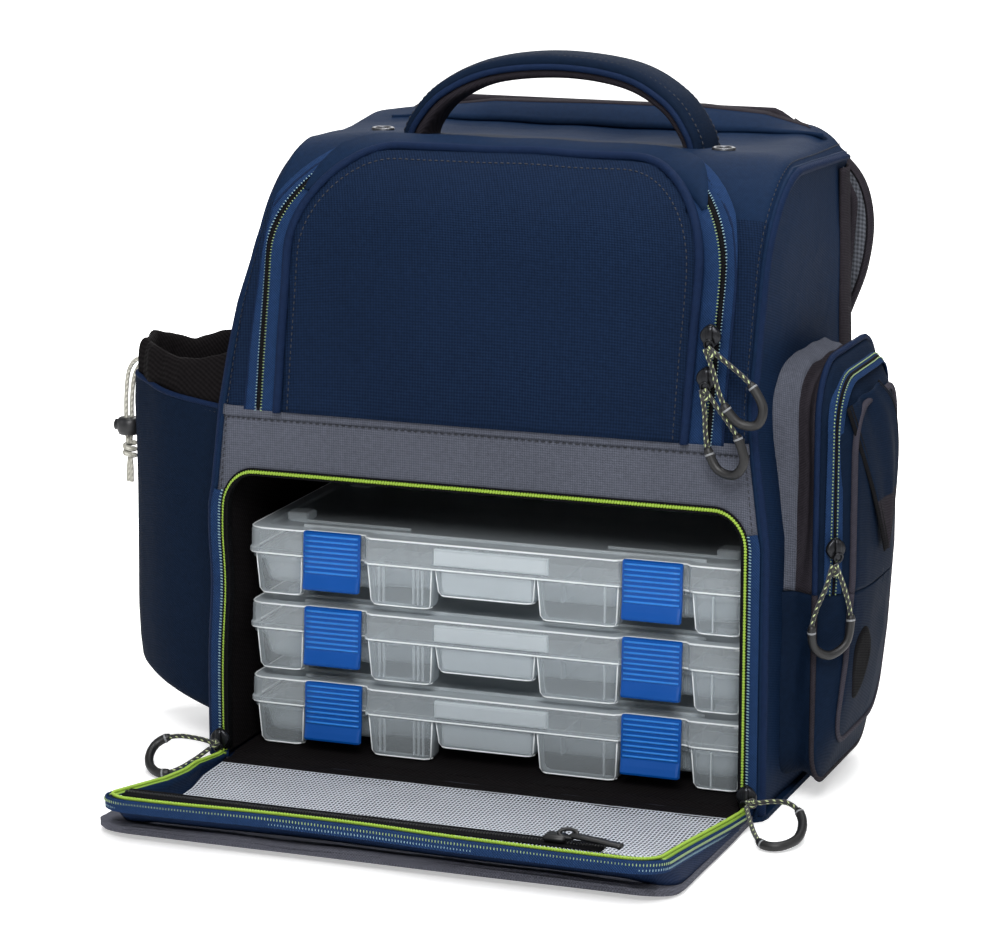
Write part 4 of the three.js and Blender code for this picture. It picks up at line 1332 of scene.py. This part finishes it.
def build_drawcord():
    """Two cord ends from the collar through the barrel lock, with a knot and two tails."""
    up = (0, 1, 0)
    one = spline([(-214, -24, 199), (-221, -23, 199), (-226.5, -21.5, 192), (-228.6, -21, 178),
                  (-228.8, -21, 163), (-228.2, -20.6, 152)], 1.2)
    two = spline([(-213, -17, 200), (-220, -17.5, 197), (-224.6, -18.6, 189), (-226.0, -19.5, 176),
                  (-226.4, -19.6, 163), (-227.4, -19.8, 152)], 1.2)
    parts = [swept(p, round_section(1.25, 8), up) for p in (one, two)]
    a = np.linspace(0, 4.6 * math.pi, 60)
    knot = xyz(CORD_X + 2.6 * np.cos(a), CORD_Y + 2.6 * np.sin(a), 152.5 - a * 0.55)
    parts.append(swept(knot, round_section(1.5, 8), (0, 0, 1)))
    for dx, dy in ((-1.1, 0.4), (1.1, -0.5)):
        tail = [(CORD_X, CORD_Y, 146), (CORD_X + dx, CORD_Y + dy, 139),
                (CORD_X - 0.2 + 1.3 * dx, CORD_Y + 2 * dy, 131)]
        parts.append(swept(spline(tail, 1.2), round_section(1.2, 8), up))
    uv = sum([p[2] for p in parts], [])
    piece("drawcord_braid", *merge(parts), PALE_CORD, "bag", uv, hides=("drawcord",))
    a = circle(28)
    barrel = closed_loft([xyz(CORD_X + r * np.cos(a), CORD_Y + r * np.sin(a), z) for r, z in (
        (2.7, 157.0), (5.8, 157.4), (6.6, 159.6), (6.5, 164.8), (5.6, 166.2), (3, 166.4))])
    button = swept(np.array([(-235.6, CORD_Y, 162), (-228, CORD_Y, 162)]), round_section(3.0, 14), (0, 0, 1))
    piece("cord_lock_barrel", *merge([barrel, button]), BUCKLE, "cord_lock", hides=("cord_lock",))


# ---------------------------------------------------------------- organiser pocket on the right

POCKET_FACE = 167


def pocket_arch(y0, y1, z0, z1, r):
    """From the bottom front up, over two rounded corners and down the back, as (y, z)."""
    a = np.linspace(0.1, math.pi / 2, 9)
    rise, bend, inwards = np.linspace(z0, z1 - r, 16), z1 - r + r * np.sin(a), r - r * np.cos(a)
    front = np.vstack([xyz(y0, rise, 0), xyz(y0 + inwards, bend, 0)])
    back = np.vstack([xyz(y1, rise, 0), xyz(y1 - inwards, bend, 0)])
    return resample(np.vstack([front, back[::-1]])[:, :2], 3.0)


def arch_normal(line):
    """Directions across a (y, z) line, in its own plane."""
    t = unit(np.gradient(line, axis=0))
    return np.stack([-t[:, 1], t[:, 0]], 1)


def gusset(name, line, x0, look, hides, seed, push, groove_depth=0.0):
    """Soft wall round a pocket from x0 out to its face; where it has a groove, its outer part is charcoal
    cloth as painted shade of the fold.
    """
    n, rows, count = arch_normal(line), [], 16
    for t in np.linspace(0, 1, count):
        x = x0 + (POCKET_FACE - x0) * t
        fold = push * ripple(line[:, 0] * 2, line[:, 1], np.full(len(line), x * 5), size=38, seed=seed)
        groove = groove_depth * math.exp(-((t - 0.74) / 0.12) ** 2) * ramp(line[:, 1], 118, 148)
        puff = -3.4 * math.sin(math.pi * t) ** 2 + fold * math.sin(math.pi * t) ** 0.5 - groove
        y, z = (line + n * puff[:, None]).T
        rows.append(xyz(x, y, z))
    # painted shade: the outer faces, from the groove out to the pocket's face, take the charcoal cloth to
    # stand in for the shadow in the fold
    painted_fold_shade = [int(groove_depth > 0 and j > 8) for _ in line[1:] for j in range(count - 1)]
    sheet(name, np.stack(rows, 1), [look, CHARCOAL], "bag", thick=1.5, offset=1, face_looks=painted_fold_shade,
          hides=hides)


def face_x(r):
    """How far out the pocket's face stands at a share r of its outline."""
    return np.interp(r, [0, 0.3, 0.55, 0.72, 0.80, 0.86, 0.93, 1.0],
                     [188.2, 188.0, 187.0, 185.2, 183.0, 179.4, 174.0, 167.4])


def slim(p):
    """The pocket tapers towards its foot and its rear."""
    p = np.array(p, float)
    base = face_x(1)
    low = np.interp(p[..., 2], [10, 30, 75, 120], [0.3, 0.5, 0.82, 1.0])
    rear = 1 - 0.25 * ramp(p[..., 1], 10, 55)
    p[..., 0] = base + (p[..., 0] - base) * np.where(p[..., 0] > base, low * rear, 1)
    return p


def pocket_face(name, outline, centre, body, hides, seed):
    """Domed outer face over a half outline closed along z = centre z."""
    rows = []
    for r in np.linspace(1, 0, 26):
        y, z = (centre + (outline - centre) * max(r, 0.004)).T
        fold = ripple(y, z, size=34, seed=seed) * math.sin(math.pi * min(1, r * 1.1)) ** 0.6
        rows.append(xyz(face_x(r) + fold * (1 - r) * 1.5, y, z))
    sheet(name, np.array(rows), NAVY_DEEP, body, True, 1.5, 1, hides=hides)


def face_line(outline, centre, r, lift=0.0):
    """A line on the pocket's face at a share r of its outline, with its outward direction."""
    y, z = (centre + (outline - centre) * r).T
    slope = math.atan2(face_x(r - 0.03) - face_x(r + 0.03), 0.06 * 60)
    d = unit(outline - centre) * math.sin(slope)
    return xyz(face_x(r) + lift, y, z), unit(np.column_stack([np.full(len(d), math.cos(slope)), d]))


def build_side_pocket():
    """Two-part wall and face, the upper face being the cover with its zip, and a low oval patch."""
    seam, step = 112.4, 0.6
    upper = pocket_arch(-60, 48, seam + step, 229, 28)
    gusset("side_gusset_grey", upper, 140, SLATE, ("side_gusset_upper",), 51, 2.2, 8.0)
    low = pocket_arch(-60, 48, 12, 112.8, 22) * [1, -1] + [0, 124.8]
    lower = low[::-1]
    gusset("side_gusset_navy", lower, 147, NAVY_DEEP, ("side_gusset_lower",), 52, 2.0)
    c_up, c_low = np.array([-4.0, seam]), np.array([-4.0, seam - 1])
    pocket_face("side_cover_cloth", upper, c_up, "side_cover", ("side_cover",), 53)
    pocket_face("side_front_cloth", lower, c_low, "bag", ("side_pocket_front",), 54)
    for part, line, c, body, look in (("upper", upper, c_up, "side_cover", NAVY_TRIM),
                                      ("lower", lower, c_low, "bag", CHARCOAL)):
        p, up = face_line(line, c, 1.0)
        sweep(f"side_seam_{part}", p, round_section(1.6, 8), look, body, up)
        p, up = face_line(line, c, 0.80, 0.5)
        sweep(f"side_piping_{part}", p, round_section(1.7, 10), MAUVE, body, up)
        if part == "upper":
            build_side_zip(line, c, body)
    build_slip_pouch()
    a = circle(30)

    def edge(k, x):
        y = k * 11 * np.cos(a)
        return xyz(x + 0.16 * y, -30 + y * (1 + 0.2 * np.sin(a)), 72 + k * 19 * np.sin(a))

    patch = closed_loft([edge(1.0, 185.6), edge(1.0, 187.6), edge(0.86, 188.8), edge(0.7, 188.8)], False)
    piece("side_patch", *patch, BLACK_TAPE, "bag")


def build_side_zip(line, centre, body):
    """Tape, dark zip line and two stitch rows round the cover."""
    p, up = face_line(line, centre, 0.92, 0.5)
    sweep("side_zip_tape", p, strap_section(9.5, 0.9), TAPE, body, up)
    higher = face_line(line, centre, 0.92, 1.0)[0]
    sweep("side_zip_line", higher, strap_section(1.6, 0.9), BLACK_TAPE, body, up)
    for k, gap in enumerate((-1.6, 1.6)):
        stitches(f"side_zip_stitch_{k}", p, up, GREEN_THREAD, body, 1.7, (gap, 0.7), 0.42, 0.1, 0.3)


def build_slip_pouch():
    """Leaf-shaped cloth flap hanging over the cover, bound along its front edge."""
    front = spline([(180.5, -50, 207), (184.6, -45, 190), (188.5, -33, 166), (190.6, -20, 142),
                    (191.2, -13, 128)], 3)
    rear = spline([(184, -8, 212), (188.6, 4, 200), (190.2, 9, 180), (190.6, 5, 155), (191.2, -9, 128)], 3)
    n, m, body = 44, 22, "side_cover"
    a, b = recount(front, n), recount(rear, n)
    t, along = np.linspace(0, 1, m), np.linspace(0, 1, n)[:, None]
    v = a[:, None] * (1 - t)[None, :, None] + b[:, None] * t[None, :, None]
    dome = np.sin(math.pi * t)
    folds = 1.3 * np.sin(11 * t + 3 * along) * dome * (1 - 0.4 * along)
    v[..., 0] += 1.8 * dome * np.sin(math.pi * np.clip(along * 1.05, 0, 1)) + folds
    dark = [int(i >= n * 0.62) for i in range(n - 1) for _ in range(m - 1)]
    sheet("slip_pouch_cloth", v, [NAVY_DEEP, CHARCOAL], body, thick=1.2, offset=0, face_looks=dark,
          hides=("slip_pouch",))
    sweep("slip_pouch_binding", a, strap_section(5.0, 1.0), BLACK_TAPE, body, (1, -0.3, 0))
    sweep("slip_pouch_edge", b, strap_section(3.0, 1.0), BLACK_TAPE, body, (1, 0.3, 0))


# ---------------------------------------------------------------- harness on the back

def build_back_pad():
    """Mesh-faced pad with sewn channels, bound all round."""
    foot, top, half = 22, 334, 138
    x, z = grid(-half, half, 110, foot, top, 124)
    px = x / half * np.interp(z, [22, 40, 60, 290, 314, 334], [112, 130, 138, 138, 124, 92]) + lean_x(z)
    side = np.minimum(1 - np.abs(x) / half, 0.12) / 0.12
    end = np.minimum(np.minimum(z - foot, top - z) / 16, 1)
    edge = np.sin(np.minimum(side, end) * math.pi / 2)
    beside = np.abs(x) > 22
    channel = np.exp(-((np.abs(x) - 22) / 5) ** 2)
    for height in (120, 225):
        channel = channel + np.exp(-((z - height) / 5) ** 2) * beside
    y = 77.6 + edge * (12.5 + 1.0 * ripple(x, z, size=60, seed=61)) - 6.5 * np.clip(channel, 0, 1) * edge
    v = xyz(px, y, z)
    sheet("back_pad_mesh", v, BLACK_MESH, "bag", hides=("back_pad",))
    rim = np.vstack([v[0], v[1:, -1], v[-1, -2::-1], v[-2:0:-1, 0]]) + [0, 0.6, 0]
    sweep("back_pad_binding", resample(rim, 4.0), round_section(2.6, 8), CHARCOAL, "bag", (0, 1, 0),
          closed=True)


def build_strap(side, s):
    """Padded shoulder strap between two drawn edges, from under the top band down to its buckle."""
    outer = spline([(104, 84, 329), (126, 88, 315), (141, 91, 299), (147, 93, 277), (145, 95, 252),
                    (138, 97, 230), (127, 98, 198), (120, 98, 160), (115, 98, 112)], 2.0)
    inner = spline([(50, 84, 328), (67, 89, 316), (82, 93, 300), (90, 96, 280), (91, 97, 256), (87, 98, 232),
                    (79, 98, 200), (73, 98, 160), (71, 98, 112)], 2.0)
    n, rear = 72, np.array([0, 1.0, 0])
    edges = [recount(c, n) * [s, 1, 1] for c in (inner, outer)]
    for e in edges:
        e[:, 0] += 0.6 * lean_x(e[:, 2])
    p, across = (edges[0] + edges[1]) / 2, (edges[1] - edges[0]) / 2
    a = circle(30) * s
    uneven = 1 + 0.06 * ripple(np.arange(n) * 4.0, size=40, seed=62 + s)
    puff = 4.7 * np.clip(0.45 + to_rim(n) / 6, 0, 1) * uneven
    c = (np.sign(np.cos(a)) * np.abs(np.cos(a)) ** 0.5)[:, None]
    d = (np.sign(np.sin(a)) * np.abs(np.sin(a)) ** 0.8)[:, None]
    rings = [p[i] + across[i] * c + rear * d * puff[i] for i in range(n)]
    piece(f"strap_{side}_pad", *closed_loft(rings), AIR_MESH, "bag", hides=(f"shoulder_strap_{side}",))
    for k, e in enumerate(edges):
        sweep(f"strap_{side}_binding_{k}", e, strap_section(3.2, 8.0, 0.45), CHARCOAL, "bag", rear)
        line = e + unit(p - e) * 4.8 + rear * 4.2
        stitches(f"strap_{side}_stitch_{k}", line, rear, DARK_THREAD, "bag")
    sweep(f"strap_{side}_webbing", (p + rear * 4.9)[6:], strap_section(24, 1.6), WEBBING, "bag", rear)
    x = s * 93.0
    tail = spline([(x, 100.4, 122), (x, 100.9, 103), (x, 100.6, 92), (s * 97, 100.5, 74),
                   (s * 106, 100.2, 55), (s * 125, 97, 20)], 3.0)
    sweep(f"strap_{side}_tail", tail, strap_section(24.5, 1.5), WEBBING, "bag", rear,
          hides=(f"strap_webbing_{side}",))
    bars = [block(x + u, x + u + 3.6, 98.2, 102.8, 90, 112, 0.8) for u in (-17, 13.4)]
    for z, y in ((90, 98.6), (99.2, 99.2), (108.4, 98.6)):
        bars.append(block(x - 16, x + 16, y, 103.2, z, z + 3.4, 0.8))
    name = f"ladder_lock_{side}"
    piece(name + "_frame", *merge(bars), BUCKLE, name, hides=(name,))


def build_rear():
    """Charcoal bindings along the rear of each side and over the rear top edge, and the back's cloth."""
    z = np.linspace(4, 318, 90)
    t = np.linspace(0, 1, 7)
    uneven = 0.4 * ripple(z, size=30, seed=71)[:, None]
    for name, s in SIDES:
        x = s * (149.6 + 1.6 * np.sin(math.pi * t) - 3.0 * t ** 3)
        points = settle(xyz(x + uneven, 52 + 25 * t, z[:, None]))
        sheet(f"rear_binding_{name}", points, CHARCOAL, "bag", s > 0, 1.6, 1)
        stitches(f"rear_stitch_{name}", settle(xyz(s * 150.9, 54.5, z)), (s, 0, 0), DARK_THREAD, "bag", 3.2)
    x = np.linspace(-104, 135, 90)
    peak = np.interp(x, [-104, -85, -50, 65, 100, 122, 135], [322, 330, 335, 336.5, 334, 328, 321])
    peak = peak + 0.5 * ripple(x, size=50, seed=72)
    base = np.array([skin_height(v, 54) for v in x]) + 0.6
    t = np.linspace(0, 1, 8)
    lift = np.sin(t * math.pi / 2) ** 0.9
    band = xyz(x[:, None], 54 + 21 * t, base[:, None] * (1 - lift) + peak[:, None] * lift)
    dark = [int(j > 4) for _ in x[1:] for j in range(7)]
    sheet("rear_top_band", band, [NAVY_FINE, CHARCOAL], "bag", thick=2.0, offset=0, face_looks=dark)
    sweep("rear_top_binding", band[4:-4, 5] + [0, 0, 0.4], round_section(1.2, 8), CHARCOAL, "bag")
    x, z = grid(-147, 147, 40, 4, 326, 44)
    sheet("rear_cloth", settle(xyz(x, 77.4, z)), NAVY_FINE, "bag", hides=("back_panel",))


# ---------------------------------------------------------------- stage

def build_stage():
    """Pale floor that fades to white, even sky, soft lamps and the camera."""
    scene = bpy.context.scene
    far_side = 9000
    v = [(x * far_side, y * far_side, 0) for x, y in ((-1, -1), (1, -1), (1, 1), (-1, 1))]
    g = Graph("pale_floor")
    spot = g.add("ShaderNodeVectorMath", {"operation": "LENGTH"}, i0=g.add("ShaderNodeNewGeometry"))
    far = g.add("ShaderNodeMapRange", Value=spot.outputs["Value"], From_Min=0.3, From_Max=0.9, To_Min=0.3,
                To_Max=1.1)
    glow = g.math("MULTIPLY_ADD", g.add("ShaderNodeLightPath").outputs["Is Camera Ray"], far, 0.14)
    floor = piece("floor", v, [(0, 1, 2, 3)], g.set(Base_Color=(0.9, 0.9, 0.9), Roughness=0.7,
                                                    Emission_Color=(1, 1, 1), Emission_Strength=glow),
                  None, smooth=False)
    world = bpy.data.worlds.new("studio")
    world.use_nodes = True
    tree = world.node_tree
    seen = tree.nodes.new("ShaderNodeLightPath").outputs["Is Camera Ray"]
    power = tree.nodes.new("ShaderNodeMath")
    power.operation = "MULTIPLY_ADD"
    tree.links.new(seen, power.inputs[0])
    power.inputs[1].default_value, power.inputs[2].default_value = 0.8, 0.24
    tree.nodes["Background"].inputs[0].default_value = (1, 1, 1, 1)
    tree.links.new(power.outputs[0], tree.nodes["Background"].inputs[1])
    scene.world = world

    for name, place, size, watts in (("key", (0.5, -1.5, 1.3), 0.8, 33), ("side", (1.7, 0.1, 0.9), 0.8, 5),
                                     ("top", (0.1, 0.2, 1.7), 0.9, 24), ("left", (-1.5, -0.9, 0.8), 1.2, 4),
                                     ("rear", (-0.4, 1.5, 1.1), 1.2, 11)):
        light = bpy.data.lights.new(name, "AREA")
        light.energy, light.size = watts, size
        lamp = bpy.data.objects.new(name, light)
        lamp.location = place
        aim = bpy.data.objects.new(name + "_aim", None)
        aim.location = (0, -0.03, 0.15)
        track = lamp.constraints.new("TRACK_TO")
        track.target, track.track_axis, track.up_axis = aim, "TRACK_NEGATIVE_Z", "UP_Y"
        for made in (lamp, aim):
            scene.collection.objects.link(made)

    target, distance = np.array([5.1, -72.0, 163.7]) * MM, 1.9
    turn, rise = math.radians(20.5), math.radians(12.7)
    cam = bpy.data.objects.new("camera", bpy.data.cameras.new("camera"))
    scene.collection.objects.link(cam)
    away = np.array([math.sin(turn) * math.cos(rise), -math.cos(turn) * math.cos(rise), math.sin(rise)])
    cam.location = target + away * distance
    cam.rotation_euler = (math.pi / 2 - rise, 0, turn)
    cam.data.sensor_width, cam.data.lens = 36, 135.4
    cam.data.clip_end = 100
    scene.camera = cam
    scene.view_settings.view_transform = "Standard"


build_shell()
build_mouth_zip()
build_front_lid()
build_inside()
build_door()
for tray in (1, 2, 3):
    build_tray(tray)
build_zip_hardware()
build_handle()
build_bottle_pocket()
build_side_pocket()
build_back_pad()
for side, s in SIDES:
    build_strap(side, s)
build_rear()
build_stage()
